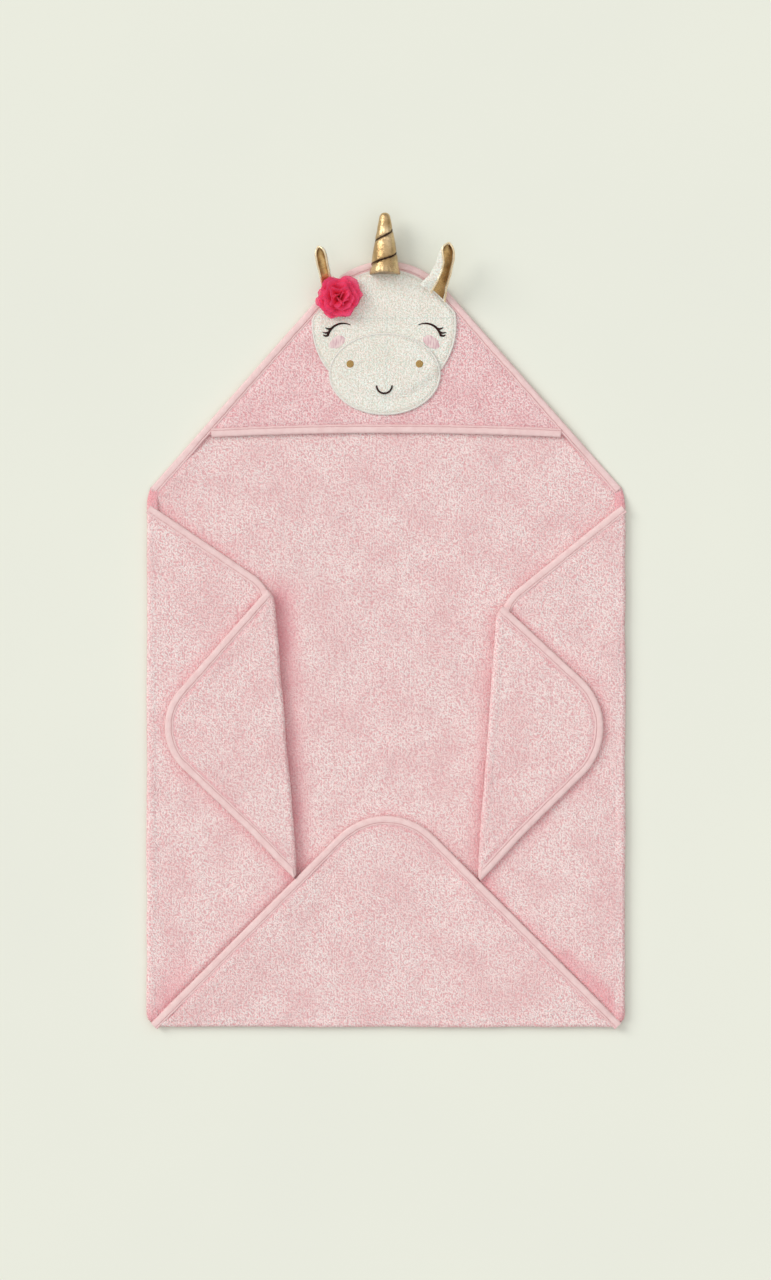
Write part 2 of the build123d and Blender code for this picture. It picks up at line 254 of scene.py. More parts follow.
# ---- Making pieces -----------------------------------------------------------------------------------------
def make_piece(name, points, faces, materials, floats=None, slots=None, sharp=1.05):
    """A mesh object from millimetre points; floats are per-point values that its material reads."""
    mesh = bpy.data.meshes.new(name)
    mesh.from_pydata((np.asarray(points) / 1000).tolist(), [], faces)
    for key, values in (floats or {}).items():
        mesh.attributes.new(key, "FLOAT", "POINT").data.foreach_set("value", np.asarray(values, np.float32))
    for material in materials:
        mesh.materials.append(material)
    if slots is not None:
        mesh.polygons.foreach_set("material_index", np.asarray(slots, np.int32))
    mesh.polygons.foreach_set("use_smooth", np.ones(len(mesh.polygons), bool))
    mesh.validate()
    shape = bmesh.new()
    shape.from_mesh(mesh)
    bmesh.ops.recalc_face_normals(shape, faces=shape.faces)
    shape.to_mesh(mesh)
    shape.free()
    mesh.set_sharp_from_angle(angle=sharp)
    mesh.update()
    piece = bpy.data.objects.new(name, mesh)
    bpy.context.scene.collection.objects.link(piece)
    return piece


def place(piece, where, slot, *nodes):
    """Put a piece on a body or on a part of the hood, and list the CAD nodes it stands for; slot is not used."""
    if where in ("left", "right"):
        lift(piece, where)
    else:
        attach(piece, "back" if where == "crown" else where)
    if nodes:
        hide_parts(*nodes)


def triangulated(outline, step, seed):
    """(points, triangles) that fill a closed outline; its own points come first and keep their order."""
    low, high = outline.min(0), outline.max(0)
    rows = np.arange(low[1], high[1], step * 0.87)
    columns = np.arange(low[0] - step, high[0], step)
    x, y = np.meshgrid(columns, rows)
    x += (np.arange(len(rows)) % 2)[:, None] * step / 2
    random = np.random.default_rng(seed)
    grid = np.stack([x.ravel(), y.ravel()], 1) + random.uniform(-0.22, 0.22, (x.size, 2)) * step
    grid = grid[inside(grid, outline)]
    grid = grid[edge_distance(grid, outline) > 0.6 * step]
    corners = [Vector(p) for p in np.vstack([outline, grid])]
    found = delaunay_2d_cdt(corners, [], [list(range(len(outline)))], 1, 1e-6, False)
    points, triangles = np.array([tuple(p) for p in found[0]]), np.array([tuple(f) for f in found[2]])
    middles = points[triangles].mean(1)
    outside = ~inside(middles, outline)
    outside[outside] = edge_distance(middles[outside], outline) > 3e-4
    return points, triangles[~outside].tolist()


def sheet(name, outline, heights, materials, seed, step=STEP):
    """A closed cloth sheet. heights(xy, upper) gives (z, pile, tint) of its upper or lower side."""
    outline = resample(outline, step, closed=True)
    top, top_faces = triangulated(outline, step, seed)
    low, low_faces = triangulated(outline, step * 2, seed + 1)
    count, edge = len(top), len(outline)
    (top_z, *top_floats), (low_z, *low_floats) = heights(top, True), heights(low, False)
    points = np.vstack([np.column_stack([top, top_z]), np.column_stack([low, low_z])])
    faces = top_faces + [[count + i for i in reversed(f)] for f in low_faces]
    faces += [(i, count + i, count + (i + 1) % edge, (i + 1) % edge) for i in range(edge)]
    pile, painted_shade = (np.concatenate(pair) for pair in zip(top_floats, low_floats))
    return make_piece(name, points, faces, materials, {"pile": pile, "painted_shade": painted_shade})


def ring_faces(rings, size, reverse=False):
    """Faces between rings of points, and a cap at each end."""
    faces = []
    for a in range(0, (rings - 1) * size, size):
        b = a + size
        faces += [(a + i, a + (i + 1) % size, b + (i + 1) % size, b + i) for i in range(size)]
    faces += [tuple(range(size))[::-1], tuple((rings - 1) * size + i for i in range(size))]
    return [face[::-1] for face in faces] if reverse else faces


def swept(name, path, profiles, materials, floats=None):
    """A closed tube along a flat path. profiles[k] holds (distance inwards, z) points around the tube at point k."""
    rings = []
    for (x, y), (nx, ny), profile in zip(path, inward_normals(path), profiles):
        rings.append(np.column_stack([x + nx * profile[:, 0], y + ny * profile[:, 0], profile[:, 1]]))
    return make_piece(name, np.vstack(rings), ring_faces(len(rings), len(rings[0])), materials, floats)


def cord(path, radius, out, side, around):
    """Rings of points round a path, in the plane of 'out' and 'side'; the radius may vary."""
    angles = np.linspace(0, 2 * math.pi, around, endpoint=False)[None, :, None]
    radius = np.broadcast_to(radius, len(path))[:, None, None]
    rings = path[:, None] + radius * (np.cos(angles) * out[:, None] + np.sin(angles) * side[:, None])
    return rings.reshape(-1, 3)


def loops(x, y, seed):
    """Terry pile: uneven loops in small tufts, from about -1 to 1."""
    wx = x + 2.2 * noise(x, y, 9.0, seed + 5)
    wy = y + 2.2 * noise(x, y, 9.0, seed + 6)
    return noise(wx, wy, 4.4, seed) * 0.75 + noise(wx * 1.25, wy * 0.85, 7.0, seed + 1) * 0.35


def swell(x, y, seed):
    """Slow undulation of loosely laid cloth, from about -1 to 1."""
    return 0.6 * noise(x, y, 95.0, seed) + 0.4 * noise(x, y, 42.0, seed + 1)


# ---- Materials ---------------------------------------------------------------------------------------------
def screen(red, green, blue):
    """A screen colour, 0 to 255, as the linear colour that a shader takes."""
    values = [c / 255 for c in (red, green, blue)]
    return tuple(c / 12.92 if c <= 0.04045 else ((c + 0.055) / 1.055) ** 2.4 for c in values) + (1.0,)


class Shader:
    """A node material under construction; an input is a value or another node's output."""

    def __init__(self, name, roughness, sheen=0.0, metallic=0.0):
        self.material = bpy.data.materials.new(name)
        self.material.use_nodes = True
        self.tree = self.material.node_tree
        self.surface = self.tree.nodes["Principled BSDF"]
        self.fill(self.surface, {"Roughness": roughness, "Sheen Weight": sheen, "Sheen Roughness": 0.5,
                                 "Metallic": metallic})
        self.place = self.node("ShaderNodeTexCoord").outputs["Object"]

    def fill(self, node, inputs):
        for socket, value in inputs.items():
            if isinstance(value, bpy.types.NodeSocket):
                self.tree.links.new(value, node.inputs[socket])
            else:
                node.inputs[socket].default_value = value

    def node(self, kind, inputs=None, **settings):
        node = self.tree.nodes.new(kind)
        for key, value in settings.items():
            setattr(node, key, value)
        self.fill(node, inputs or {})
        return node

    def noise(self, scale, detail=3.0, stretch=(1, 1, 1)):
        mapping = self.node("ShaderNodeMapping", {"Vector": self.place, "Scale": stretch})
        inputs = {"Vector": mapping.outputs[0], "Scale": scale, "Detail": detail}
        return self.node("ShaderNodeTexNoise", inputs).outputs["Fac"]

    def vectors(self, operation, *inputs):
        return self.node("ShaderNodeVectorMath", dict(enumerate(inputs)), operation=operation).outputs

    def strands(self, scale, turn, spread):
        """Short rounded loops that lie in many directions, from 0 between them to 1 along their tops."""
        warp = self.node("ShaderNodeTexNoise", {"Vector": self.place, "Scale": scale * 0.8})
        bent = self.vectors("MULTIPLY_ADD", warp.outputs["Color"], (1.1 / scale,) * 3, self.place)[0]
        cells = self.node("ShaderNodeTexVoronoi", {"Vector": bent, "Scale": scale}).outputs
        away = self.vectors("SUBTRACT", bent, cells["Position"])[0]
        shade = self.node("ShaderNodeSeparateColor", {"Color": cells["Color"]}).outputs["Red"]
        angle = self.span(shade, 0, 1, turn - spread, turn + spread)
        turned = self.node("ShaderNodeVectorRotate", {"Vector": away, "Angle": angle}, rotation_type="Z_AXIS")
        slim = self.vectors("MULTIPLY", turned.outputs[0], (scale / 0.95, scale / 0.42, scale / 1.2))[0]
        return self.span(self.vectors("LENGTH", slim)["Value"], 0.15, 1.0, 1.0, 0.0)

    def waves(self, scale, direction="X", distortion=0.0):
        inputs = {"Vector": self.place, "Scale": scale, "Distortion": distortion}
        return self.node("ShaderNodeTexWave", inputs, bands_direction=direction).outputs["Fac"]

    def value(self, name):
        return self.node("ShaderNodeAttribute", attribute_name=name).outputs["Fac"]

    def math(self, operation, a, b, clamp=False):
        return self.node("ShaderNodeMath", {0: a, 1: b}, operation=operation, use_clamp=clamp).outputs[0]

    def add(self, a, b, share=1.0):
        """a plus a share of b."""
        return self.math("ADD", a, b if share == 1.0 else self.math("MULTIPLY", b, share))

    def span(self, value, low, high, to_low=0.0, to_high=1.0):
        inputs = {"Value": value, "From Min": low, "From Max": high, "To Min": to_low, "To Max": to_high}
        return self.node("ShaderNodeMapRange", inputs).outputs[0]

    def mix(self, factor, a, b):
        """Between two colours, each given as on screen or as another node's output."""
        a, b = (screen(*c) if isinstance(c, tuple) else c for c in (a, b))
        return self.node("ShaderNodeMix", {0: factor, 6: a, 7: b}, data_type="RGBA").outputs[2]

    def blend(self, factor, a, b):
        return self.node("ShaderNodeMixShader", {0: factor, 1: a.outputs[0], 2: b.outputs[0]})

    def bump(self, height, distance, strength=1.0):
        node = self.node("ShaderNodeBump", {"Height": height, "Distance": distance / 1000, "Strength": strength})
        self.fill(self.surface, {"Normal": node.outputs[0]})

    def colour(self, value):
        self.fill(self.surface, {"Base Color": value})


def terry_material(name, light, deep, shade_colour):
    """Looped pile: painted light on the loop tops and painted shade in the hollows between them, and a shade colour
    painted where the cloth lies in shade beside folds, edges and seams.
    """
    s = Shader(name, roughness=0.95, sheen=0.12)
    s.fill(s.surface, {"Subsurface Weight": 0.3, "Subsurface Radius": (1.0, 0.5, 0.5), "Subsurface Scale": 0.003})
    loop = s.math("MAXIMUM", s.strands(330, 0.9, 1.1), s.math("MULTIPLY", s.strands(400, 0.9, 1.5), 0.85))
    patch = s.span(s.noise(22, 2.0), 0.42, 0.66)
    # The loop tops take the light colour and the hollows between them the deep one: painted shade of the pile.
    colour = s.mix(s.span(s.add(loop, s.value("pile"), 0.07), 0.0, 0.8), deep, light)
    colour = s.mix(s.math("MULTIPLY", patch, 0.32), colour, deep)
    # Painted shade: towards the shade colour where the mesh's per-point shade value is set.
    s.colour(s.mix(s.value("painted_shade"), colour, shade_colour))
    s.bump(loop, 0.9, 0.8)
    return s.material


def tape_material(name, light, deep, shade_colour):
    """Plain-woven bias tape: a fine diagonal weave with slight puckers."""
    s = Shader(name, roughness=0.8, sheen=0.12)
    weave = s.math("MULTIPLY", s.waves(900, "DIAGONAL"), s.waves(760, "Y"))
    soft = s.noise(130)
    cloth = s.mix(s.span(s.add(soft, weave, 0.15), 0.3, 0.8), deep, light)
    # Painted shade: towards the shade colour where the mesh's per-point shade value is set.
    s.colour(s.mix(s.value("painted_shade"), cloth, shade_colour))
    s.bump(s.add(soft, weave, 0.35), 0.7, 0.6)
    return s.material


def thread_material(name, light, deep, shine=0.45):
    """Embroidery thread: close parallel strands with a soft shine."""
    s = Shader(name, roughness=shine)
    s.fill(s.surface, {"Specular IOR Level": 0.2})
    strands = s.waves(1500, "DIAGONAL", 1.5)
    s.colour(s.mix(s.span(strands, 0.1, 0.7), deep, light))
    s.bump(strands, 0.25, 0.6)
    return s.material


def blush_material(name, light, deep):
    """Pale satin stitch whose upright threads let the plush show between them."""
    s = Shader(name, roughness=0.7, sheen=0.1)
    threads = s.noise(330, 2.0, (1.8, 0.35, 1))
    s.colour(s.mix(s.span(threads, 0.36, 0.62), deep, light))
    s.bump(threads, 0.5, 0.6)
    return s.material


def lame_material(name, light, mid, deep, metallic=0.9):
    """Gold lame: metallic foil on fine cloth, with creases where it is pulled."""
    s = Shader(name, roughness=0.4, metallic=metallic)
    creases, weave, worn = s.noise(95, 4.0, (0.5, 1, 0.6)), s.noise(1400, 2.0), s.noise(45)
    # Painted shade: towards the deep colour where the mesh's per-point shade value is set.
    s.colour(s.mix(s.value("painted_shade"), s.mix(s.span(worn, 0.35, 0.7), mid, light), deep))
    s.fill(s.surface, {"Roughness": s.span(weave, 0.3, 0.7, 0.22, 0.36)})
    s.bump(s.add(creases, weave, 0.10), 3.2, 0.8)
    return s.material


def chiffon_material(name, light, deep):
    """Sheer chiffon: part of the light passes through, and the colour deepens where layers gather."""
    s = Shader(name, roughness=0.6, sheen=0.3)
    threads = s.math("MULTIPLY", s.waves(1500, "X", 0.6), s.waves(1400, "Y", 0.6))
    rim = s.value("pile")
    s.colour(s.mix(s.span(rim, 0.0, 1.0), deep, light))
    sheer = s.blend(0.5, s.surface, s.node("ShaderNodeBsdfTranslucent", {"Color": screen(*light)}))
    gaps = s.math("ADD", s.math("MULTIPLY", rim, 0.38), s.math("MULTIPLY", threads, 0.06), True)
    net = s.blend(gaps, sheer, s.node("ShaderNodeBsdfTransparent"))
    s.fill(s.tree.nodes["Material Output"], {"Surface": net.outputs[0]})
    return s.material


# The third colour of each terry and tape material, and the deep colour of each lame, is the colour of its painted
# shade.
PINK = terry_material("terry_pink", (254, 235, 231), (225, 173, 175), (234, 154, 162))
HOOD_PINK = terry_material("terry_hood_pink", (254, 227, 225), (222, 161, 166), (234, 150, 159))
WHITE = terry_material("plush_white", (253, 250, 241), (225, 220, 205), (218, 209, 196))
TAPE = tape_material("binding_pink", (247, 218, 215), (238, 201, 199), (216, 150, 155))
STITCHES = thread_material("stitch_pink", (238, 202, 200), (216, 162, 164), 0.7)
SATIN = thread_material("satin_white", (248, 245, 238), (232, 227, 216))
BROWN = thread_material("thread_brown", (66, 38, 34), (28, 15, 13), 0.8)
ROSE = blush_material("thread_rose", (234, 212, 208), (206, 168, 174))
BULLION = thread_material("thread_gold", (205, 170, 105), (150, 112, 62), 0.35)
GOLD = lame_material("lame_gold", (240, 212, 166), (184, 152, 106), (78, 48, 24))
LINING = lame_material("lame_lining", (255, 222, 156), (226, 178, 108), (92, 58, 26), 0.6)
RIM = lame_material("lame_rim", (255, 240, 206), (242, 216, 172), (180, 140, 90), 0.6)
CHIFFON = chiffon_material("chiffon_crimson", (255, 96, 150), (238, 8, 70))
FELT = terry_material("felt_crimson", (190, 20, 60), (150, 8, 40), (110, 5, 30))


# ---- Folds and outlines ------------------------------------------------------------------------------------
JOINTS = {joint["name"]: joint for joint in frame["joints"]}
# body: (its terry node, its binding node, the folds at its edges)
PANELS = {
    "back": ("back_panel", "crown_binding", ("left_wing_fold", "right_wing_fold", "bottom_flap_fold")),
    "left_wing": ("left_wing_panel", "left_wing_binding", ("left_wing_fold", "left_tip_fold")),
    "right_wing": ("right_wing_panel", "right_wing_binding", ("right_wing_fold", "right_tip_fold")),
    "left_tip": ("left_tip_panel", "left_tip_binding", ("left_tip_fold",)),
    "right_tip": ("right_tip_panel", "right_tip_binding", ("right_tip_fold",)),
    "bottom_flap": ("bottom_flap_panel", "bottom_flap_binding", ("bottom_flap_fold",)),
}
OUTLINES = {body: hull(node_points(terry, tape)) for body, (terry, tape, _) in PANELS.items()}


def fold_line(joint):
    """(point, direction) of a hinge seen from above."""
    line = JOINTS[joint]
    direction = np.array(line["axis"][:2], float)
    return np.array(line["pos_m"][:2], float) * 1000, direction / np.hypot(*direction)


def from_line(xy, joint):
    """Signed distance of points from a fold's line."""
    point, (dx, dy) = fold_line(joint)
    return (xy - point) @ np.array([-dy, dx])


def on_folds(xy, body, reach=ON_FOLD):
    return np.any([np.abs(from_line(xy, fold)) < reach for fold in PANELS[body][2]], axis=0)


def fold_end(side, upper=False):
    """The lower or upper end of a tip's fold."""
    outline = OUTLINES[f"{side}_tip"]
    near = outline[on_folds(outline, f"{side}_tip")]
    return near[near[:, 1].argmax() if upper else near[:, 1].argmin()]


def lowest(body):
    return OUTLINES[body][OUTLINES[body][:, 1].argmin()]


def bound_chains(body):
    """The stretches of an outline that lie on none of its folds; a tip's rounded corner counts as fold."""
    outline = resample(OUTLINES[body], PATH_STEP, closed=True)
    middle = (outline + np.roll(outline, -1, axis=0)) / 2
    free = ~on_folds(middle, body)
    if "tip" in body:
        corner = CORNERS[body.split("_")[0]]
        free &= ~(on_folds(middle, body, 4.8) & (np.hypot(*(middle - corner).T) < 26))
    start = next(i for i in range(len(outline)) if free[i] and not free[i - 1])
    chains, run = [], []
    for k in range(len(outline) + 1):
        i = (start + k) % len(outline)
        if free[i] and k < len(outline):
            run.append(outline[i])
        elif run:
            chains.append(np.array(run + [outline[i]]))
            run = []
    return chains


def along_outline(outline, start, run):
    """Point that lies some length along a closed outline from one of its corners; a negative length goes back."""
    step = 1 if run > 0 else -1
    left, k = abs(run), start
    while True:
        a, b = outline[k % len(outline)], outline[(k + step) % len(outline)]
        size = np.hypot(*(b - a))
        if size >= left:
            return a + (b - a) * left / size, k
        left -= size
        k += step


def round_corner(outline, corner, reach):
    """Swap the outline near a corner for a curve that leaves and joins it some length to either side."""
    start = int(np.hypot(*(outline - corner).T).argmin())
    before, k_before = along_outline(outline, start, -reach)
    after, k_after = along_outline(outline, start, reach)
    t = np.linspace(0, 1, 14)[:, None]
    curve = (1 - t) ** 2 * before + 2 * t * (1 - t) * outline[start] + t ** 2 * after
    kept = [outline[k % len(outline)] for k in range(k_after + 1, k_before + len(outline))]
    return np.vstack([curve, kept])


def reach_flap(side):
    """A tip's outline with its lower end stretched along its fold, up to the bottom flap's edge."""
    low = fold_end(side)
    outline = resample(OUTLINES[f"{side}_tip"], OUTLINE_STEP, closed=True)
    share = smooth(1 - np.hypot(*(outline - low).T) / STRETCH_REACH)
    return outline + TIP_STRETCH * share[:, None] * unit(low - CORNERS[side])


def cut_to(outline, limit):
    """The part of a convex outline that lies inside another convex outline."""
    for a, b in zip(limit, np.roll(limit, -1, axis=0)):
        if len(outline) and np.hypot(*(b - a)) > 1e-6:
            outline = clipped(outline, a, (a[1] - b[1], b[0] - a[0]))
    return outline


def tuck_under_flap(side):
    """A side corner's outline with its lower edge moved outwards, so that the bottom flap covers its binding."""
    outline = resample(OUTLINES[f"{side}_wing"], OUTLINE_STEP, closed=True)
    lower = edge_distance(outline, OUTLINES["bottom_flap"]) < 4
    lower &= np.abs(from_line(outline, f"{side}_wing_fold")) > ON_FOLD
    first = outline[outline[:, 1].argmin()]
    inner = node_points(f"{side}_tip_panel")
    run = unit(inner[inner[:, 1].argmin()][:2] - first)
    grow = smooth(np.hypot(*(outline - first).T) / 16)
    outwards = np.array([run[1], -run[0]]) * math.copysign(1, run[0])
    return outline + np.where(lower, OVERLAP * grow, 0.0)[:, None] * outwards


CORNERS = {side: fold_end(side, upper=True) for side in WING_CORNERS}
for side_word, corner_reach in WING_CORNERS.items():
    wing, tip = f"{side_word}_wing", f"{side_word}_tip"
    OUTLINES[tip] = reach_flap(side_word)
    OUTLINES[wing] = round_corner(OUTLINES[wing], CORNERS[side_word], corner_reach)
    OUTLINES[tip] = cut_to(OUTLINES[tip], OUTLINES[wing])
    OUTLINES[wing] = tuck_under_flap(side_word)
CHAINS = {body: bound_chains(body) for body in PANELS}
MOUTH = node_points("hood_mouth_binding")
MOUTH_LOW, MOUTH_HALF = MOUTH[:, 1].min(), MOUTH[:, 0].max()
MOUTH_MIDDLE = MOUTH[np.abs(MOUTH[:, 0]) < 0.2 * MOUTH_HALF][:, 1].min()
BEND_Y = JOINTS["hood_open"]["pos_m"][1] * 1000
FLAP_FOLD_Y = JOINTS["bottom_flap_fold"]["pos_m"][1] * 1000


def layer(body):
    """(lowest, highest) z of a body's terry."""
    low, high = box_mm(PANELS[body][0])
    return low[2], high[2]


def mouth_y(x):
    """Y of the hood's free edge."""
    return MOUTH_MIDDLE - (MOUTH_MIDDLE - MOUTH_LOW) * (x / MOUTH_HALF) ** 2


# ---- Towel -------------------------------------------------------------------------------------------------
# body: (the cloth that lies on it, width of the painted shade along that cloth's edge, its strength)
CONTACT_SHADES = {
    "back": [("left_wing", 7, 0.34), ("right_wing", 6, 0.22), ("bottom_flap", 6, 0.22)],
    "left_wing": [("left_tip", 7, 0.30), ("bottom_flap", 8, 0.32)],
    "right_wing": [("right_tip", 8, 0.36), ("bottom_flap", 9, 0.38)],
}
COVERED_WIDTH = 9                      # the painted shade reaches this far under the covering cloth


def contact_shade(body, xy):
    """Painted shade on a panel along the edges of the cloth that lies on it, and a little way under that cloth."""
    painted_shade = np.zeros(len(xy))
    for owner, width, strength in CONTACT_SHADES.get(body, ()):
        outline = OUTLINES[owner]
        varied = width * (1.15 + 0.8 * noise(*xy.T, 24.0, 57))
        painted_shade += bell(edge_distance(xy, outline), np.where(inside(xy, outline), COVERED_WIDTH, varied)) * strength
    return painted_shade


def dents_and_shades(body, xy):
    """(dent, painted shade) where a panel's cloth is dented beside a fold, with painted shade beside the folds and
    along the edges of the cloth on it.
    """
    dent, painted_shade = np.zeros(len(xy)), contact_shade(body, xy)
    for start, end, width, depth, strength in DENTS_AND_SHADES.get(body, ()):
        share = bell(distance(xy, [np.array([start, end], float)]), width)
        dent += depth * share
        painted_shade += strength * share
    return dent, np.clip(painted_shade, 0, 1)


def beside(side, along, away, reach):
    """Two points on a line beside a tip's fold: from 'along' to 'along + reach' of its length, 'away' from it."""
    low, high = fold_end(side), CORNERS[side]
    shift = np.array([away if side == "left" else -away, 0.0])
    return low + (high - low) * along + shift, low + (high - low) * (along + reach) + shift


def outer_foot(side, away, rise):
    """A point beside the bottom end of a side corner's fold, towards the middle and upwards."""
    x, y = lowest(f"{side}_wing")
    return x + (away if side == "left" else -away), y + rise


# body: (start, end, half width, depth of the dent, depth of the painted shade)
DENTS_AND_SHADES = {
    "back": [
        (*beside("left", 0.05, 10, 0.9), 13, 0.9, 0.48),
        (*beside("right", 0.05, 8, 0.9), 9, 0.6, 0.30),
        (*beside("left", 0.8, 18, 0.2), 13, 0.8, 0.25),
    ],
    "left_wing": [
        (*beside("left", 0.93, -22, -0.12), 6, 1.0, 0.42),
        (*beside("left", 0.80, -42, -0.1), 6, 0.8, 0.30),
        (outer_foot("left", 4, 12), outer_foot("left", 34, 62), 15, 0.5, 0.30),
    ],
    "right_wing": [
        (*beside("right", 0.93, -20, -0.1), 6, 0.8, 0.30),
        (outer_foot("right", 14, 26), outer_foot("right", 62, 74), 8, 0.7, 0.34),
        (outer_foot("right", 3, 10), outer_foot("right", 3, 40), 12, 0.4, 0.20),
    ],
}


def pressed_flat(body, xy):
    """Share of its thickness that a side corner keeps where the bottom flap lies on it."""
    if "wing" not in body:
        return np.ones(len(xy))
    flap = OUTLINES["bottom_flap"]
    away = edge_distance(xy, flap)
    depth = np.where(inside(xy, flap), away, -away)
    return 1 - OVERLAP_PRESS * smooth((depth + 6) / 7)


def edge_rise(body, xy):
    """How far the bottom flap's edges rise to lie over the side corners."""
    if body != "bottom_flap":
        return np.zeros(len(xy))
    over_sides = smooth((np.abs(xy[:, 0]) - 62) / 40) * smooth((xy[:, 1] - FLAP_FOLD_Y - 3) / 24)
    return OVERLAP_RISE * over_sides * smooth((76 - distance(xy, CHAINS[body])) / 64)


def terry_heights(body):
    """The height function of a panel's terry, thinner where its edges are pressed into the binding."""
    low, high = layer(body)
    half = (high - low) / 2
    seed = 11 * (1 + list(PANELS).index(body))

    def heights(xy, upper):
        x, y = xy.T
        bound = distance(xy, CHAINS[body])
        pressed = 0.50 + 0.50 * smooth((bound - 7.5) / 6)
        rounded = quarter_round(edge_distance(xy, OUTLINES[body]) / 2.5, 0.04)
        pile = loops(x, y, seed)
        dent, painted_shade = dents_and_shades(body, xy) if upper else (0, np.zeros(len(xy)))
        rise = half * pressed * rounded + 0.5 * bell(bound - 15, 6) * rounded - dent
        rise += (SWELL * (swell(x, y, 3) - 0.55) + PILE * pile) * smooth((bound - 8) / 4) * rounded
        if upper:
            # Painted shade in a narrow band of terry along the binding's inner edge; side corners get the SOFT share of
            # it.
            painted_shade = np.clip(painted_shade + 0.42 * (SOFT if "wing" in body else 1) * bell(bound - 10.6, 1.7), 0, 1)
        else:
            rise = -np.minimum(rise, half)
        return low + (half + rise) * pressed_flat(body, xy) + edge_rise(body, xy), pile, painted_shade

    return heights


def terry_panel(body):
    """A panel's terry, with its bound edges inside the binding."""
    outline = resample(OUTLINES[body], OUTLINE_STEP, closed=True)
    bound = (distance(outline, CHAINS[body]) < 0.5) & ~on_folds(outline, body)
    inner = offset(outline, np.where(bound, BOUND_INSET, 0.3))
    return sheet(f"{body}_terry", inner, terry_heights(body), [PINK], 100 + len(body))


# distance from the edge, share of the half thickness, depth of painted shade (at the inner edges and in the seam's
# groove)
TAPE_SECTION = (
    (BINDING, 0.60, 0.60), (9.5, 0.86, 0.20), (8.7, 0.93, 0.04), (8.0, 0.92, 0.10), (7.5, 0.72, 0.60),
    (7.0, 0.92, 0.10), (6.2, 0.99, 0.0), (4.2, 1.03, 0.0), (2.2, 0.97, 0.0), (1.0, 0.80, 0.0), (0.25, 0.45, 0.0),
)
SEAM = 7.5                             # the row of stitches lies this far from the edge


def tape_profile(half, middle, wave):
    """Round a binding's section from its upper inner edge, over its outer edge, to its lower inner edge."""
    upper = [(s, z) for s, z, _ in TAPE_SECTION]
    shape = np.array(upper + [(-0.05, 0.0)] + [(s, -z) for s, z in reversed(upper)])
    shape[:, 0] += wave * (shape[:, 0] > 6)
    shape[:, 1] = shape[:, 1] * half + middle
    return shape


def tape(name, chain, low, high, seed=0, depth=1.0):
    """A binding along a stretch of edge; low and high are its lower and upper z, which may vary along it."""
    path = resample(chain, PATH_STEP)
    length = path_length(path)
    wave = 0.22 * noise_along(length, 7.0, seed) + 0.15 * noise_along(length, 2.9, seed + 1)
    puff = 1 + 0.05 * noise_along(length, 9.0, seed + 2)
    low, high = low + 0 * length, high + 0 * length
    profiles = [tape_profile((h - l) / 2 * p, (l + h) / 2, w) for l, h, p, w in zip(low, high, puff, wave)]
    # Painted shade across the tape's section, from TAPE_SECTION; depth scales it.
    colour = [c for _, _, c in TAPE_SECTION]
    painted_shade = np.tile(colour + [0.0] + colour[::-1], len(path)) * depth
    return swept(name, path, profiles, [TAPE], {"painted_shade": painted_shade})


def stitching(name, chain, low, high):
    """A row of short stitches along the inner part of a binding, on both sides of the cloth."""
    path = resample(chain, 1.0)
    length, normals = path_length(path), inward_normals(path)
    runs = np.arange(STITCH_PITCH, length[-1] - STITCH_PITCH, STITCH_PITCH)
    angles = np.linspace(0, 2 * math.pi, STITCH_SIDES, endpoint=False)
    shape = [(-1.2, 0.06), (-0.7, 0.30), (0.7, 0.30), (1.2, 0.06)]      # along the stitch, radius
    low, high = low + 0 * length, high + 0 * length
    points, faces = [], []
    for side in (1, -1):
        stitch = ring_faces(len(shape), STITCH_SIDES, reverse=side < 0)
        for k in np.searchsorted(length, runs):
            along = np.array([normals[k][1], -normals[k][0]])
            centre = path[k] + normals[k] * SEAM
            z = (low[k] + high[k]) / 2 + side * (0.84 * (high[k] - low[k]) / 2 + 0.1)
            faces += [tuple(len(points) + i for i in face) for face in stitch]
            for step, radius in shape:
                for angle in angles:
                    xy = centre + along * step + normals[k] * math.cos(angle) * radius
                    points.append((*xy, z + side * math.sin(angle) * radius))
    return make_piece(name, points, faces, [STITCHES])


def rim_high(path):
    """Top of the crown binding: one layer beside the towel, and two where it also holds the hood."""
    return layer("back")[1] + RIM_RISE * smooth((path[:, 1] - MOUTH_LOW + 22) / 26)


def without_end(chain, corner, length):
    """A chain without its points near a corner."""
    return chain[np.hypot(*(chain - corner).T) > length]


def up_to_flap(chain):
    """A tip's chain with its lower end run on until it meets the bottom flap."""
    low_first = chain[0, 1] < chain[-1, 1]
    path = chain[::-1] if low_first else chain
    run = unit(path[-1] - path[-4])
    steps = [path[-1] + run * step for step in np.arange(0.5, 12, 0.5)]
    gaps = edge_distance(np.array(steps), OUTLINES["bottom_flap"])
    path = np.vstack([path, steps[:int(gaps.argmin())]])
    return path[::-1] if low_first else path


def trim_at_fold(piece, side):
    """Pull the part of a tip's binding that passes its fold back to the fold."""
    fold = f"{side}_tip_fold"
    along = fold_line(fold)[1]
    sign = np.sign(from_line(OUTLINES[f"{side}_tip"].mean(0), fold))
    for vertex in piece.data.vertices:
        short = max(0.4 - from_line(np.array(vertex.co[:2]) * 1000, fold) * sign, 0) * sign / 1000
        vertex.co.x -= along[1] * short
        vertex.co.y += along[0] * short


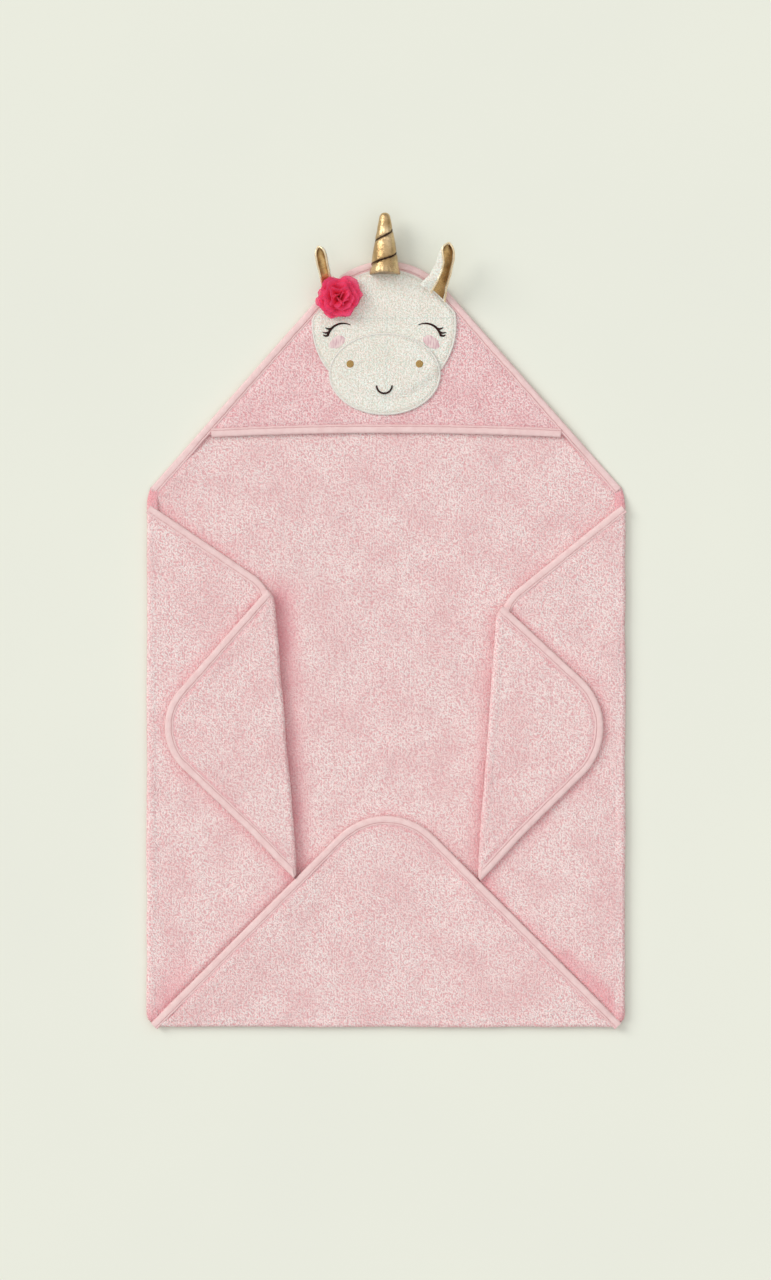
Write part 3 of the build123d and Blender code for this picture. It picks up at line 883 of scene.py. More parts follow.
def bind_panel(body):
    """The binding on a panel's bound edges, with its stitches."""
    low, high = layer(body)
    side = body.split("_")[0]
    chains = CHAINS[body]
    if "wing" in body:
        chains = [without_end(without_end(chain, lowest(body), 16), fold_end(side), 18) for chain in chains]
        chains = [chain for chain in chains if len(chain) > 4]
    if "tip" in body:
        chains = [up_to_flap(chain) for chain in chains]
    CHAINS[body] = chains
    node = PANELS[body][1]
    for k, chain in enumerate(chains):
        suffix = "" if len(chains) == 1 else f"_{k + 1}"
        spans = []
        for path in (resample(chain, PATH_STEP), resample(chain, 1.0)):
            top = rim_high(path) if body == "back" else high
            spans.append((low + (top - low) * pressed_flat(body, path), edge_rise(body, path)))
        (top, edge), (fine_top, fine_edge) = spans
        droop = 0 if body == "back" else DROOP * (1 - edge / OVERLAP_RISE)
        strip = tape(f"{node}_tape{suffix}", chain, low + edge - droop, top + edge, k + 7,
                     SOFT if "wing" in body else 1)
        stitches = stitching(f"{node}_stitches{suffix}", chain, low + fine_edge, fine_top + fine_edge)
        for piece in (strip, stitches):
            if "tip" in body:
                trim_at_fold(piece, side)
        place(strip, body, "binding_pink", *([node] if k == 0 else []))
        place(stitches, body, "binding_pink")


def span_at(outline, line, away):
    """Where an outline starts and ends, measured along a line that runs beside a fold at some distance."""
    point, along = line
    across = np.array([-along[1], along[0]])
    if (outline.mean(0) - point) @ across < 0:
        across = -across
    side, run = (outline - point) @ across, (outline - point) @ along
    hits = []
    for k in range(len(outline)):
        a, b = side[k - 1] - away, side[k] - away
        if (a < 0) != (b < 0):
            hits.append(run[k - 1] + (run[k] - run[k - 1]) * a / (a - b))
    return min(hits), max(hits)


def edge_offset(outline, line, outwards, s):
    """How far an outline has curved away from its fold line, at each distance along the line."""
    point, along = line
    rim = resample(outline, 0.5, closed=True) - point
    away, run = -(rim @ outwards), rim @ along
    near = (away > -0.5) & (away < MOST_CURVE)
    order = np.argsort(run[near])
    return np.clip(np.interp(s, run[near][order], away[near][order]), 0, MOST_CURVE)


def fold_roll(joint):
    """The soft roll of cloth round a fold, lapping over both panels; a tip's roll ends in binding."""
    lower, upper = JOINTS[joint]["parent"], JOINTS[joint]["child"]
    side, _, kind = joint.partition("_")
    is_wing, is_tip = kind == "wing_fold", kind == "tip_fold"
    point, along = fold_line(joint)
    outwards = np.array([-along[1], along[0]])
    if (OUTLINES[upper].mean(0) - point) @ outwards > 0:
        outwards = -outwards

    # The section round the fold: u outwards, z upwards, q from the lower layer to the upper one.
    low, high = layer(lower)[0], layer(upper)[1]
    axis_z, radius = (low + high) / 2, (high - low) / 2
    arc = np.radians(np.linspace(-90, 90, ARC_POINTS))
    flat = -FOLD_REACH * np.array([1.0, 0.6, 0.3])
    u = np.concatenate([flat, radius * np.cos(arc), flat[::-1]])
    z = np.concatenate([[low + 0.7, low + 0.1, low], axis_z + radius * np.sin(arc), [high, high - 0.1, high - 0.9]])
    q = np.concatenate([np.zeros(3), np.linspace(0, 1, ARC_POINTS), np.ones(3)])
    girth = path_length(np.column_stack([u, z]))
    turn = unit(np.stack([np.gradient(z), -np.gradient(u)], 1))

    # Where the roll starts and ends along the fold, for each point of the section.
    spans = [np.array([span_at(OUTLINES[body], (point, along), max(1.0, -a)) for a in u]) for body in (lower, upper)]
    mixed = spans[0] + (spans[1] - spans[0]) * smooth(q)[:, None]
    start, end = mixed[:, 0] + 0.4, mixed[:, 1] - 0.4
    if is_tip:
        top = (CORNERS[side] - point) @ along
        limit = start * 0 + top - math.copysign(3.5, top)
        start, end = (spans[1][:, 0] + 0.4, limit) if top > 0 else (limit, spans[1][:, 1] - 0.4)
    steps = max(8, int((end - start).max() / STEP))
    s = start[None, :] + (end - start)[None, :] * np.linspace(0, 1, steps + 1)[:, None]
    from_end = np.minimum(s - start[None, :], end[None, :] - s)

    bound = from_end * 0 + 1 if is_wing else smooth((from_end - BINDING) / 2.5)
    pile = loops(s.ravel(), (s * 0 + girth[None, :]).ravel(), 71).reshape(s.shape)
    bulge = 0.8 * noise_along(s.ravel(), 38.0, 5).reshape(s.shape) * np.sin(np.pi * q)[None, :] ** 2
    inset = (PILE * 0.9 * pile - 0.25) * bound + bulge - 0.35 * (1 - bound)
    rounded = quarter_round(from_end / CORNER_ROUND)
    uu, zz = u[None, :] + turn[None, :, 0] * inset, z[None, :] + turn[None, :, 1] * inset
    uu = np.where(uu > 0, uu * rounded, uu)
    zz = axis_z + (zz - axis_z) * (0.8 + 0.2 * rounded)
    if is_tip:
        uu = uu - edge_offset(OUTLINES[lower], (point, along), outwards, s)
    flat_xy = point + s[..., None] * along + uu[..., None] * outwards
    points = np.concatenate([flat_xy, zz[..., None]], 2).reshape(-1, 3)

    columns = len(u)
    faces = ring_faces(steps + 1, columns, reverse=along[0] * outwards[1] - along[1] * outwards[0] > 0)
    nearest = np.minimum(from_end[:-1], from_end[1:]).ravel()
    slots = np.append(nearest < BINDING - 0.5, [True, True]) & (not is_wing)
    # Painted shade round the roll's outer side, and more at its ends, most on the side corners' folds.
    painted_shade = 0.12 * np.sin(np.pi * q)[None, :] + (0.62 if is_wing else 0.15) * bell(from_end, 11)
    floats = {"pile": pile.ravel(), "painted_shade": painted_shade.ravel()}
    roll = make_piece(f"{joint}_roll", points, faces, [PINK, TAPE], floats, slots)
    foot, margin = point / 1000, 0.9
    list(foot)
    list(foot)
    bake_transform(roll)


for body_name in PANELS:
    place(terry_panel(body_name), body_name, "terry_pink", PANELS[body_name][0])
    bind_panel(body_name)
for fold_name in ("left_wing_fold", "right_wing_fold", "left_tip_fold", "right_tip_fold", "bottom_flap_fold"):
    fold_roll(fold_name)


# ---- Hood --------------------------------------------------------------------------------------------------
CROWN = OUTLINES["back"]
HOOD_LOW, HOOD_HIGH = (corner[2] for corner in box_mm("hood_front_panel"))


def circle(centre, half, count=160):
    angles = np.linspace(0, 2 * math.pi, count, endpoint=False)
    return np.column_stack([centre[0] + half[0] * np.cos(angles), centre[1] + half[1] * np.sin(angles)])


def node_ring(*nodes):
    """(middle, half sizes) of an oval or round CAD node, seen from above."""
    points = node_points(*nodes)
    low, high = points.min(0), points.max(0)
    return (low + high)[:2] / 2, (high - low)[:2] / 2


def lift(piece, side):
    """Bake a half of the hood's front where it lies; where it would stay with the straight sewn edge and where it would
    lift fully are worked out but not used.
    """
    sign = -1 if side == "left" else 1
    chain = CHAINS["back"][0]
    end = chain[0] if sign * chain[0][0] > 0 else chain[-1]
    run = unit(chain[np.argsort(np.hypot(*(chain - end).T))[20]] - end)
    normal = np.array([-run[1], run[0]])
    normal = -normal if normal[0] * sign > 0 else normal
    held, free = (end + normal * HOOD_HELD) / 1000, (end + normal * HOOD_FREE) / 1000
    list(held)
    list(free)
    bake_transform(piece)


def hood_outline(inset, mouth_inset):
    """The hood's cloth: the crown's edge moved in, closed by the free edge."""
    outline = offset(resample(CROWN, OUTLINE_STEP, closed=True), inset)
    top = outline[outline[:, 1] > MOUTH_LOW + 0.5]
    left, right = top[top[:, 0].argmin()], top[top[:, 0].argmax()]
    order = np.argsort(np.arctan2(top[:, 1] - left[1] + 1, top[:, 0]))
    free = np.linspace(left[0], right[0], 90)
    return np.vstack([top[order], np.column_stack([free, mouth_y(free) + mouth_inset])])


def hood_parts(outline):
    """The same outline cut at the bend and the middle: the crown, then the left and right of the front."""
    front = clipped(outline, (0, BEND_Y), (0, -1))
    return {
        "crown": clipped(outline, (0, BEND_Y), (0, 1)),
        "left": clipped(front, (0, 0), (-1, 0)),
        "right": clipped(front, (0, 0), (1, 0)),
    }


def from_hems(xy):
    """Distance from the hood's sewn edge and from its free edge."""
    return distance(xy, CHAINS["back"]), xy[:, 1] - mouth_y(xy[:, 0])


def hood_top(xy):
    """Mean height of the hood's terry."""
    bound, mouth = from_hems(xy)
    fall = smooth((bound - 7) / 9) * smooth((mouth - 7.5) / 6)
    return HOOD_HIGH - 2.0 * (1 - fall) + SWELL * (swell(*xy.T, 31) - 0.4) * fall


def hood_heights(xy, upper):
    bound, mouth = from_hems(xy)
    nearest = np.minimum(bound, mouth)
    pile = loops(*xy.T, 301)
    if upper:
        z = hood_top(xy) + PILE * pile * smooth((bound - 9) / 3) * smooth((mouth - 9) / 3)
    else:
        z = HOOD_LOW + 0.4 + 0.8 * smooth((14 - nearest) / 8)
    # The last value is painted shade along the hood's sewn and free edges.
    return z, pile, 0.12 * smooth((14 - nearest) / 5)


def make_hood():
    for part, outline in hood_parts(hood_outline(4.0, 3.0)).items():
        piece = sheet(f"hood_terry_{part}", outline, hood_heights, [HOOD_PINK], 401)
        place(piece, part, "terry_pink", "hood_crown_panel" if part == "crown" else "hood_front_panel")
    reach, low, high = MOUTH_HALF - 4.0, HOOD_LOW + 0.2, HOOD_HIGH - 0.1
    for part, ends in {"left": (-reach, 0.0), "right": (0.0, reach)}.items():
        x = np.linspace(*ends, 70)
        chain = np.column_stack([x, mouth_y(x)])
        strip = tape(f"hood_mouth_binding_{part}", chain, low, high, seed=21)
        place(strip, part, "binding_pink", "hood_mouth_binding")
        place(stitching(f"hood_mouth_stitches_{part}", chain, low, high), part, "binding_pink")


# ---- Face --------------------------------------------------------------------------------------------------
FACE_RADIUS = node_ring("face_front_applique")[1][0]
FACE_MIDDLE = np.array([node_ring("face_front_applique")[0][0], box_mm("face_front_applique")[0][1] + FACE_RADIUS])


def face_outline():
    """The round face, cut off by the inner edge of the hood's binding."""
    disc = circle(FACE_MIDDLE, (FACE_RADIUS, FACE_RADIUS), 220)
    held = offset(resample(CROWN, OUTLINE_STEP, closed=True), BINDING - 0.5)
    edge = held[inside(held, disc)]
    edge = edge[edge[:, 1] > FACE_MIDDLE[1] - 10]
    ring = np.vstack([disc[inside(disc, held)], edge])
    return ring[np.argsort(np.arctan2(*(ring - FACE_MIDDLE).T[::-1]))]


FACE_OUTLINE, MUZZLE_OUTLINE = face_outline(), circle(*node_ring("muzzle_applique"), 200)


def padded(xy, outline, base, radius):
    """Height of an applique over a base height, with a rounded edge."""
    return base + FACE_PAD * (0.25 + 0.75 * quarter_round(edge_distance(xy, outline) / radius))


def face_top(xy):
    return padded(xy, FACE_OUTLINE, hood_top(xy), 4.5)


def muzzle_base(xy):
    """What the muzzle lies on: the face, and the hood where the muzzle reaches past the face."""
    return hood_top(xy) + FACE_PAD * smooth((FACE_RADIUS + 4 - np.hypot(*(xy - FACE_MIDDLE).T)) / 12)


def muzzle_top(xy):
    return padded(xy, MUZZLE_OUTLINE, muzzle_base(xy), 5.0)


def plush_heights(top, base, outline, seed):
    """Short plush, pulled down in a groove beside its satin edge, with painted shade in that groove."""
    def heights(xy, upper):
        pile = loops(*(xy * 1.2).T, seed)
        groove = bell(edge_distance(xy, outline) - SATIN_WIDTH - 0.7, 1.1)
        return top(xy) + 0.2 * pile - 0.7 * groove if upper else base(xy) - 1.2, pile, 0.5 * groove

    return heights


def satin_edge(name, path, top):
    """Satin stitch along a path: a low rounded ridge of threads laid across it."""
    path = resample(path, 0.8)
    ridge = 1 + 0.25 * noise_along(path_length(path), 1.3, 9)
    z = top(path + inward_normals(path) * SATIN_WIDTH * 0.5)
    across = np.array([0, 0.25, 0.5, 0.75, 1.0, 0.75, 0.5, 0.25]) * SATIN_WIDTH
    rise = np.array([-0.3, 0.35, 0.5, 0.35, -0.3, -0.6, -0.7, -0.6])
    profiles = [np.column_stack([across, height + rise * bump])[::-1] for height, bump in zip(z, ridge)]
    return swept(name, path, profiles, [SATIN])


def open_parts(outline):
    """Stretches of a closed outline that lie in the crown, the left front and the right front."""
    outline = resample(outline, 1.0, closed=True)
    x, y = outline.T
    for part, mask in {"crown": y > BEND_Y, "left": (y <= BEND_Y) & (x < 0), "right": (y <= BEND_Y) & (x >= 0)}.items():
        start = next((i for i in range(len(mask)) if mask[i] and not mask[i - 1]), None)
        if start is not None:
            turned = np.roll(mask, -start)
            count = len(mask) if turned.all() else int(turned.argmin())
            yield part, np.take(outline, range(start, start + count + 1), axis=0, mode="wrap")


def make_face():
    muzzle = {part: clipped(MUZZLE_OUTLINE, (0, 0), (x, 0)) for part, x in (("left", -1), ("right", 1))}
    for name, outline, parts, top, base, seed in (
        ("face", FACE_OUTLINE, hood_parts(FACE_OUTLINE), face_top, hood_top, 501),
        ("muzzle", MUZZLE_OUTLINE, muzzle, muzzle_top, muzzle_base, 601),
    ):
        nodes = {part: f"face_{'top' if part == 'crown' else 'front'}" if name == "face" else name for part in parts}
        heights = plush_heights(top, base, outline, seed)
        for part, piece in parts.items():
            plush = sheet(f"{name}_plush_{part}", piece, heights, [WHITE], seed + 10, STEP * 0.8)
            place(plush, part, "plush_white", f"{nodes[part]}_applique")
        for part, run in open_parts(outline):
            place(satin_edge(f"{name}_satin_{part}", run, top), part, "thread_white", f"{nodes[part]}_stitching")


def thread_line(path, top, widths, lift_by=0.25):
    """(points, faces) of an embroidered line of varying width lying on the cloth."""
    path = resample(path, 0.6)
    share = path_length(path) / path_length(path)[-1]
    width = np.interp(share, np.linspace(0, 1, len(widths)), widths)
    around = np.linspace(0, 2 * math.pi, 8, endpoint=False)[::-1]
    across = (width / 2)[:, None] * np.cos(around)
    rise = (0.2 + width / 4)[:, None] * np.sin(around)
    flat = path[:, None] + inward_normals(path)[:, None] * across[..., None]
    z = (top(path) + lift_by)[:, None] + rise
    return np.concatenate([flat, z[..., None]], 2).reshape(-1, 3), ring_faces(len(path), 8)


def joined(parts):
    """Several (points, faces) made into one."""
    starts = np.cumsum([0] + [len(points) for points, _ in parts])
    faces = [tuple(int(first) + i for i in face) for first, (_, part) in zip(starts, parts) for face in part]
    return np.vstack([points for points, _ in parts]), faces


def make_eye(side, word):
    """A closed eye: a curved lid line that thins towards the nose, with three lashes at its outer end."""
    low, high = (corner[:2] for corner in box_mm(f"{word}_eye"))
    radius = (high[0] - low[0]) * 0.56
    inner = low[0] if side > 0 else high[0]
    centre = np.array([inner + side * radius * 0.46, high[1] - 0.8 - radius])

    def on_lid(degrees):
        angle = np.radians(degrees)
        return centre + radius * np.stack([side * np.cos(angle), np.sin(angle)], -1)

    parts = [thread_line(on_lid(np.linspace(116, 12, 30)), face_top, (0.9, 2.0, 2.7, 2.9))]
    for angle, length, rise in ((42, 7.0, 0.10), (27, 7.2, -0.10), (14, 5.4, 0.05)):
        root = on_lid(angle)
        bend = root + (side * length * 0.5, rise * length * 0.5 - 0.7)
        end = root + (side * length, rise * length + 0.4)
        parts.append(thread_line([root, bend, end], face_top, (2.5, 2.0, 0.9)))
    place(make_piece(f"{word}_eye_embroidery", *joined(parts), [BROWN]), word, "thread_brown", f"{word}_eye")


def dome(name, middle, half, tilt, top, rise, material, seed):
    """A low oval patch of satin stitch."""
    turn = np.array([[math.cos(tilt), -math.sin(tilt)], [math.sin(tilt), math.cos(tilt)]])

    def heights(xy, upper):
        share = np.clip(1 - np.hypot(*(((xy - middle) @ turn) / half).T), 0, 1)
        strands = np.sin((xy - middle) @ turn[:, 0] * 4.2) * 0.06
        return top(xy) + (rise * smooth(share * 4) + strands if upper else -0.5), share, np.zeros(len(xy))

    return sheet(name, circle((0, 0), half, 64) @ turn.T + middle, heights, [material], seed, 0.7)


def make_features():
    for side, word in ((-1, "left"), (1, "right")):
        make_eye(side, word)
        cheek = dome(f"{word}_cheek_satin", node_ring(f"{word}_cheek")[0], np.array([10.6, 6.4]),
                     -side * math.radians(33), face_top, 0.3, ROSE, 701)
        place(cheek, word, "thread_rose", f"{word}_cheek")
        nostril = dome(f"{word}_nostril_satin", *node_ring(f"{word}_nostril"), 0.0, muzzle_top, 0.7, BULLION, 711)
        place(nostril, word, "thread_gold", f"{word}_nostril")
    middle, half = node_ring("smile")
    angles = np.radians(np.linspace(180, 360, 26))
    bow = np.column_stack([middle[0] + (half[0] - 0.8) * np.cos(angles),
                           middle[1] + half[1] - 0.2 + (2 * half[1] - 1.2) * np.sin(angles)])
    smile = make_piece("smile_embroidery", *thread_line(bow, muzzle_top, (1.9, 2.3, 1.9), 0.4), [BROWN])
    place(smile, "hood", "thread_brown", "smile")


# ---- Horn --------------------------------------------------------------------------------------------------
HORN_LOW, HORN_HIGH = box_mm("horn_skin")
HORN_TILT = math.radians(4)
HORN_RADII = ((HORN_HIGH[0] - HORN_LOW[0]) / 2, 6.4)
HORN_LENGTH = HORN_HIGH[1] - HORN_LOW[1] + 1.0
HORN_FOOT = np.array([(HORN_LOW[0] + HORN_HIGH[0]) / 2, HORN_LOW[1] - 0.5, HORN_HIGH[2] - HORN_RADII[0] - 0.3])
TURN_PITCH, TURN_START, TURNS = 26.0, 8.4, 1.5      # the thread's rise per turn, its first point and its turns
TURN_END = TURN_START + TURN_PITCH * TURNS


def horn_radius(run):
    """The horn's radius at a distance from its seam, rounded off at the tip."""
    shoulder = HORN_LENGTH - HORN_RADII[1]
    cone = np.interp(run, [0, shoulder], HORN_RADII)
    cone += 0.5 * bell(run - 3, 4) + 0.4 * np.sin(run / shoulder * math.pi)
    over = np.clip((run - shoulder) / HORN_RADII[1], 0, 1)
    return cone * np.sqrt(np.clip(1 - over ** 2, 0, 1))


def thread_angle(run):
    """Angle of the wound thread round the horn, starting on the left and passing over the top."""
    return math.pi - (run - TURN_START) / TURN_PITCH * 2 * math.pi


def on_horn(run, angle, radius):
    """Points at a distance along, angle round and radius from the horn's axis; its underside is nearly flat."""
    across, up = radius * np.cos(angle), radius * np.sin(angle)
    y = HORN_FOOT[1] + run * math.cos(HORN_TILT) - up * math.sin(HORN_TILT)
    z = HORN_FOOT[2] + run * math.sin(HORN_TILT) + up * math.cos(HORN_TILT)
    under = 10.6 - 8.0 * smooth((y - HORN_FOOT[1] - 14.5) / 6)
    return np.stack([HORN_FOOT[0] + across, y, np.where(z < under, under - (under - z) * 0.05, z)], -1)


def make_horn():
    rings, around = ((150, 128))
    run = np.linspace(0, 1, rings) * HORN_LENGTH
    run, angle = np.meshgrid(run, np.linspace(0, 2 * math.pi, around, endpoint=False), indexing="ij")
    wound = (run > TURN_START - 3) & (run < TURN_END + 3)
    lag = (thread_angle(run) - angle + math.pi) % (2 * math.pi) - math.pi
    away = np.abs(lag / (2 * math.pi) * TURN_PITCH)
    pinch = np.exp(-(away / 1.7) ** 1.4) * wound
    gathers = np.sin(angle * 17 + 3 * noise(run, angle * 9, 5.0, 3)) * np.exp(-away / 4.0) * wound
    base_gathers = np.sin(angle * 23 + 2 * noise(run, angle * 9, 5.0, 4)) * np.exp(-run / 5.0)
    dents = noise(run, angle * 9, 9.0, 8) * 0.16 + noise(run * 1.7, angle * 14, 5.0, 12) * 0.14
    fade = smooth((HORN_LENGTH - run) / 8)
    radius = horn_radius(run) + (-1.5 * pinch + 0.22 * gathers + 0.3 * base_gathers + dents) * fade
    base = (3.6 * np.clip(np.sin(angle), 0, 1) ** 2 - 3.4) * (1 - smooth(run / 26))
    points = on_horn(run + base, angle, np.maximum(radius, 0.02)).reshape(-1, 3)
    # Painted shade on the lame: in the crease under the wound thread and round the horn's foot.
    painted_shade = np.clip(0.55 * pinch + 0.35 * np.exp(-run / 2.0), 0, 1).ravel()
    skin = make_piece("horn_lame", points, ring_faces(rings, around, reverse=True), [GOLD], {"painted_shade": painted_shade})
    place(skin, "horn", "lame_gold", "horn_skin", "horn_stuffing")

    run = np.linspace(TURN_START - 1, TURN_END + 1, 260)
    angle = thread_angle(run)
    centre = on_horn(run, angle, horn_radius(run) - 0.75)
    out = np.stack([np.cos(angle), 0 * angle, np.sin(angle)], 1)
    side = np.cross(unit(np.gradient(centre, axis=0)), out)
    points = cord(centre, 0.5 * (1 + 0.12 * np.sin(run * 6.0)), out, side, 8)
    thread = make_piece("horn_thread", points, ring_faces(len(run), 8), [BROWN])
    place(thread, "horn", "thread_brown", "horn_winding")


# ---- Ears --------------------------------------------------------------------------------------------------
EAR_RISE = math.radians(24)            # both ears stand up from the cloth by this angle
EAR_DEPTH = 0.62                       # depth of the cup over its width
EAR_CLOTH = 1.9                        # thickness of the plush
EAR_RIM = 1.15                         # radius of the rolled rim
EAR_ROWS, EAR_COLUMNS = 64, 56
# sweep: from rim to rim in degrees, 90 is straight up; opens: degrees by which the tip's sweep starts later;
# start: how far along from its seam the ear starts; skew: the outer side of the seam runs this much higher
EARS = {
    "left": {"sweep": (150, 398), "widths": (7.0, 7.3, 7.5, 7.5, 7.0), "lean": (-8, -6, -4, -2, 0),
             "start": -6.0, "skew": 0.0, "opens": 0.0},
    "right": {"sweep": (96, 356), "widths": (17.0, 12.0, 10.4, 9.6, 8.2), "lean": (0, 2.4, 3.8, 3.4, 1.6),
              "start": -11.0, "skew": 13.0, "opens": 58.0},
}


def make_ear(word):
    """A cupped ear: white plush behind, gold lining inside, and a rolled rim round its edge."""
    shape, joint = EARS[word], JOINTS[f"{word}_ear_flop"]
    foot, hinge = np.array(joint["pos_m"]) * 1000, np.array(joint["axis"], float)
    out, upright = np.array([-hinge[1], hinge[0], 0.0]), np.array([0, 0, 1.0])
    along = out * math.cos(EAR_RISE) + upright * math.sin(EAR_RISE)
    up = upright * math.cos(EAR_RISE) - out * math.sin(EAR_RISE)
    length = ((node_points(f"{word}_ear_back") - foot) @ along).max()
    t = np.linspace(0, 1, EAR_ROWS)
    radius = np.interp(t, np.linspace(0, 1, 5), shape["widths"])
    radius *= np.sqrt(np.clip(1 - np.clip((t - 0.84) / 0.16, 0, 1) ** 2, 0.02, 1))
    lean = np.interp(t, np.linspace(0, 1, 5), shape["lean"])
    depth = EAR_DEPTH * (0.3 + 0.7 * smooth(t / 0.35))[:, None]

    def surface(inset, trim):
        """Points across the ear at each row; inset moves them towards the cup's axis, trim pulls in the rims."""
        low = shape["sweep"][0] + shape["opens"] * smooth((t - 0.62) / 0.38)[:, None] + trim
        sweep = low + (shape["sweep"][1] - trim - low) * np.linspace(0, 1, EAR_COLUMNS)[None, :]
        angle = np.radians(sweep)
        first = shape["start"] + shape["skew"] * (1 - np.cos(angle)) / 2
        run = first + (length - first) * t[:, None]
        r = (radius - inset)[:, None] * (1 + 0.05 * noise(run, sweep / 9, 6.0, 31))
        v = r * np.cos(angle) + lean[:, None]
        w = depth * (radius[:, None] + r * np.sin(angle))
        return foot + run[..., None] * along + v[..., None] * hinge + w[..., None] * up

    outer, inner = surface(0, 0), surface(EAR_CLOTH, 3)
    stack = np.concatenate([outer, inner[:, ::-1]], 1)
    count = stack.shape[1]
    pile = loops(*(stack.reshape(-1, 3)[:, :2] * 1.3).T, 801)
    run = shape["start"] + (length - shape["start"]) * t
    centre_line = foot + run[:, None] * along + (radius * EAR_DEPTH)[:, None] * up
    bump = unit(stack - centre_line[:, None, :])
    points = stack.reshape(-1, 3) + bump.reshape(-1, 3) * (0.18 * pile)[:, None]
    back = make_piece(f"{word}_ear_plush", points, ring_faces(EAR_ROWS, count), [WHITE], {"pile": pile})
    place(back, f"{word}_ear", "plush_white", f"{word}_ear_back")

    edge = (outer + inner) / 2
    path = np.vstack([edge[:, 0], edge[::-1, -1]])
    run = unit(np.gradient(path, axis=0))
    side = unit(np.cross(run, up))
    rim = make_piece(f"{word}_ear_rim", cord(path, EAR_RIM, np.cross(side, run), side, 10),
                     ring_faces(len(path), 10), [RIM])
    place(rim, f"{word}_ear", "lame_gold")

    outer, inner = surface(EAR_CLOTH + 0.1, 15), surface(EAR_CLOTH + 0.6, 17)
    across, far = np.meshgrid(np.linspace(0, 1, EAR_COLUMNS), t)
    # Painted shade on the gold lining: darker at both rims, towards the tip and at the foot, with painted light and
    # dark streaks along it and some uneven tone at random.
    shade = 0.75 * np.exp(-across / 0.16) + 0.35 * np.exp(-(1 - across) / 0.10) + 0.55 * smooth((far - 0.78) / 0.2)
    shade += 0.25 * noise(far * length, across * 14, 5.0, 61) + 0.3 * np.exp(-far / 0.1)
    shade += 0.30 * (0.5 + 0.5 * np.cos(across * 13 + far * 3))
    stack = np.concatenate([outer, inner[:, ::-1]], 1)[2:-2]
    painted_shade = np.clip(np.concatenate([shade, shade[:, ::-1]], 1)[2:-2], 0, 1).ravel()
    lining = make_piece(f"{word}_ear_gold", stack.reshape(-1, 3), ring_faces(EAR_ROWS - 4, count), [LINING],
                        {"painted_shade": painted_shade})
    place(lining, f"{word}_ear", "lame_gold", f"{word}_ear_lining")


# ---- Flower ------------------------------------------------------------------------------------------------
PETAL_ROWS, PETAL_COLUMNS = 14, 26
CHIFFON_THICKNESS = 0.0002             # metres
# ring: groups of petals, each (count, reach, width, height, angle in radians by which they open)
PETALS = {
    "outer": [(7, 24.5, 14.0, 4.5, 1.9), (6, 21.5, 13.5, 8.5, 1.6)],
    "middle": [(5, 17.0, 12.5, 12.5, 1.3)],
    "inner": [(4, 10.5, 9.5, 15.5, 1.15), (3, 4.2, 6.5, 17.0, 0.95)],
}


def make_petal(random, foot, turn, reach, width, height, open_angle):
    """(points, faces) of one ruffled petal: a fan that rises from the flower's middle and rolls outwards."""
    u = np.linspace(0, 1, PETAL_ROWS)[:, None]
    v = np.linspace(-1, 1, PETAL_COLUMNS)[None, :]
    phase = random.uniform(0, 6.3, 3)
    ruffle = (np.sin(v * 2.6 + phase[0]) * 0.8 + np.sin(v * 5.0 + phase[1]) * 0.2) * u ** 1.5
    fray = 0.02 * np.sin(v * 8 + phase[2]) * u ** 6 + 0.015 * random.uniform(-1, 1, (1, PETAL_COLUMNS)) * u ** 4
    spread = width * (0.25 + 0.75 * np.sin(u * 1.75)) * v
    run = reach * u * (1 + fray) * (1 - 0.18 * v ** 2) + 2.4 * ruffle
    rise = height * np.sin(u * open_angle) / math.sin(min(open_angle, math.pi / 2))
    rise = rise + 2.0 * ruffle + 0.5 * np.sin(v * 6 + phase[1]) * u
    x = run * math.cos(turn) - spread * math.sin(turn)
    y = run * math.sin(turn) + spread * math.cos(turn)
    number = np.arange(PETAL_ROWS * PETAL_COLUMNS).reshape(PETAL_ROWS, PETAL_COLUMNS)
    faces = np.stack([number[:-1, :-1], number[:-1, 1:], number[1:, 1:], number[1:, :-1]], -1).reshape(-1, 4)
    return (foot + np.stack([x, y, rise], -1)).reshape(-1, 3), faces.tolist()


def make_flower():
    """Rings of ruffled petals round the button, from the low outer ones to the upright middle."""
    random = np.random.default_rng(77)
    middle, half = node_ring("flower_button")
    low, high = (corner[2] for corner in box_mm("flower_button"))
    for word, groups in PETALS.items():
        petals = []
        for count, *sizes, open_angle in groups:
            for k in range(count):
                turn = 2 * math.pi * (k + random.uniform(-0.25, 0.25)) / count
                size = random.uniform(0.88, 1.1)
                petals.append(make_petal(random, (*middle, high - 0.4), turn, *(s * size for s in sizes), open_angle))
        rim = smooth((np.linspace(0, 1, PETAL_ROWS) - 0.35) / 0.65)
        floats = {"pile": np.tile(np.repeat(rim, PETAL_COLUMNS), len(petals))}
        ring = make_piece(f"flower_chiffon_{word}", *joined(petals), [CHIFFON], floats, sharp=3.1)
        ring.modifiers.new("cloth", "SOLIDIFY").thickness = CHIFFON_THICKNESS
        place(ring, "back", "chiffon_crimson", f"flower_{word}_petals")

    def heights(xy, upper):
        share = np.clip(1 - np.hypot(*(xy - middle).T) / half[0], 0, 1)
        pile = loops(*xy.T, 901)
        top = low + (high - low) * (0.4 + 0.6 * smooth(share * 5)) + 0.1 * pile
        return top if upper else low + 0 * pile, pile, pile * 0

    button = sheet("flower_felt", circle(middle, half, 60), heights, [FELT], 911, 1.0)
    place(button, "back", "felt_crimson", "flower_button")


make_hood()
make_face()
make_features()
make_horn()
make_ear("left")
make_ear("right")
make_flower()


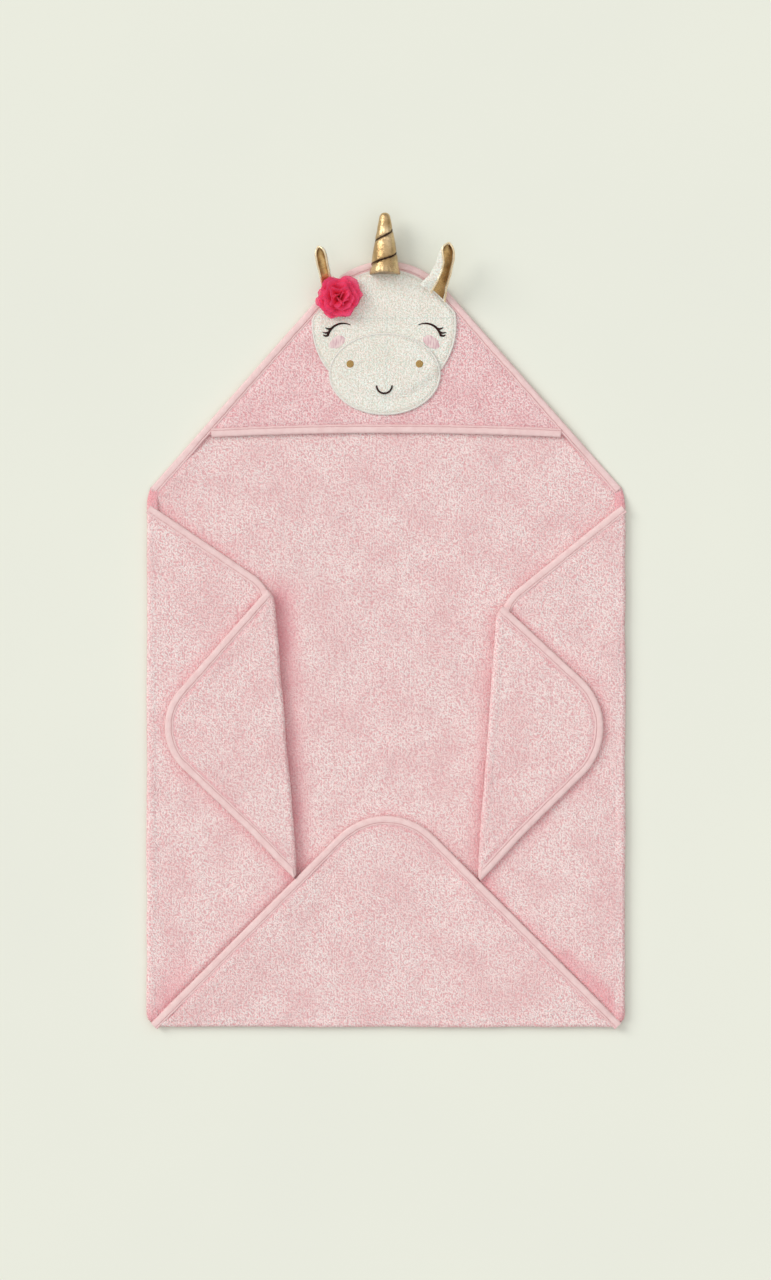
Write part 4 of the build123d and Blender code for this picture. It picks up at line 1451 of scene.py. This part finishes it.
# ---- Stage -------------------------------------------------------------------------------------------------
FRAME_HEIGHT = 1.455                   # metres of floor from the frame's top to its bottom
CAMERA_AWAY = 6.5
VIEW_CENTRE = ((cad_low.x + cad_high.x) / 2 - 0.0006, (cad_low.y + cad_high.y) / 2 - 0.0246)
FLOOR_HALF, FLOOR_DROP = 6.0, 0.0006
SUN_TOWARDS = (0.74, -0.38, -0.55)
SKY_HEIGHTS, SKY_STRENGTHS, SKY_LEVEL = (0.1, 0.75), (0.16, 1.18), 0.80


def add(name, data):
    item = bpy.data.objects.new(name, data)
    bpy.context.scene.collection.objects.link(item)
    return item


def make_floor():
    mesh = bpy.data.meshes.new("floor")
    corners = [(x * FLOOR_HALF, y * FLOOR_HALF, 0) for x, y in ((-1, -1), (1, -1), (1, 1), (-1, 1))]
    mesh.from_pydata(corners, [], [(0, 1, 2, 3)])
    s = Shader("floor_paper", roughness=0.9)
    s.colour(s.mix(s.span(s.noise(3.0), 0.3, 0.7), (229, 231, 219), (231, 233, 220)))
    mesh.materials.append(s.material)
    floor = add("floor", mesh)
    floor.location.z = -FLOOR_DROP


def make_light():
    """A sky that is brightest overhead, and a wide soft window to the upper left."""
    world = bpy.data.worlds.new("studio")
    bpy.context.scene.world = world
    world.use_nodes = True
    tree = world.node_tree
    background = tree.nodes["Background"]
    background.inputs["Strength"].default_value = SKY_LEVEL
    place, split, ramp = (tree.nodes.new(f"ShaderNode{kind}") for kind in ("TexCoord", "SeparateXYZ", "MapRange"))
    for key, values in (("From", SKY_HEIGHTS), ("To", SKY_STRENGTHS)):
        ramp.inputs[f"{key} Min"].default_value, ramp.inputs[f"{key} Max"].default_value = values
    tree.links.new(place.outputs["Generated"], split.inputs[0])
    tree.links.new(split.outputs["Z"], ramp.inputs["Value"])
    tree.links.new(ramp.outputs[0], background.inputs["Color"])
    sun = bpy.data.lights.new("window", "SUN")
    sun.energy, sun.angle, sun.color = 1.5, math.radians(32), (1.0, 0.99, 0.975)
    add("window", sun).rotation_euler = Vector(SUN_TOWARDS).to_track_quat("-Z", "Y").to_euler()


def make_camera():
    camera = bpy.data.cameras.new("camera")
    camera.lens = camera.sensor_width * CAMERA_AWAY / FRAME_HEIGHT
    camera.clip_end = 50
    holder = add("camera", camera)
    holder.location = (*VIEW_CENTRE, CAMERA_AWAY)
    bpy.context.scene.camera = holder
    bpy.context.scene.view_settings.view_transform = "Standard"


make_floor()
make_light()
make_camera()
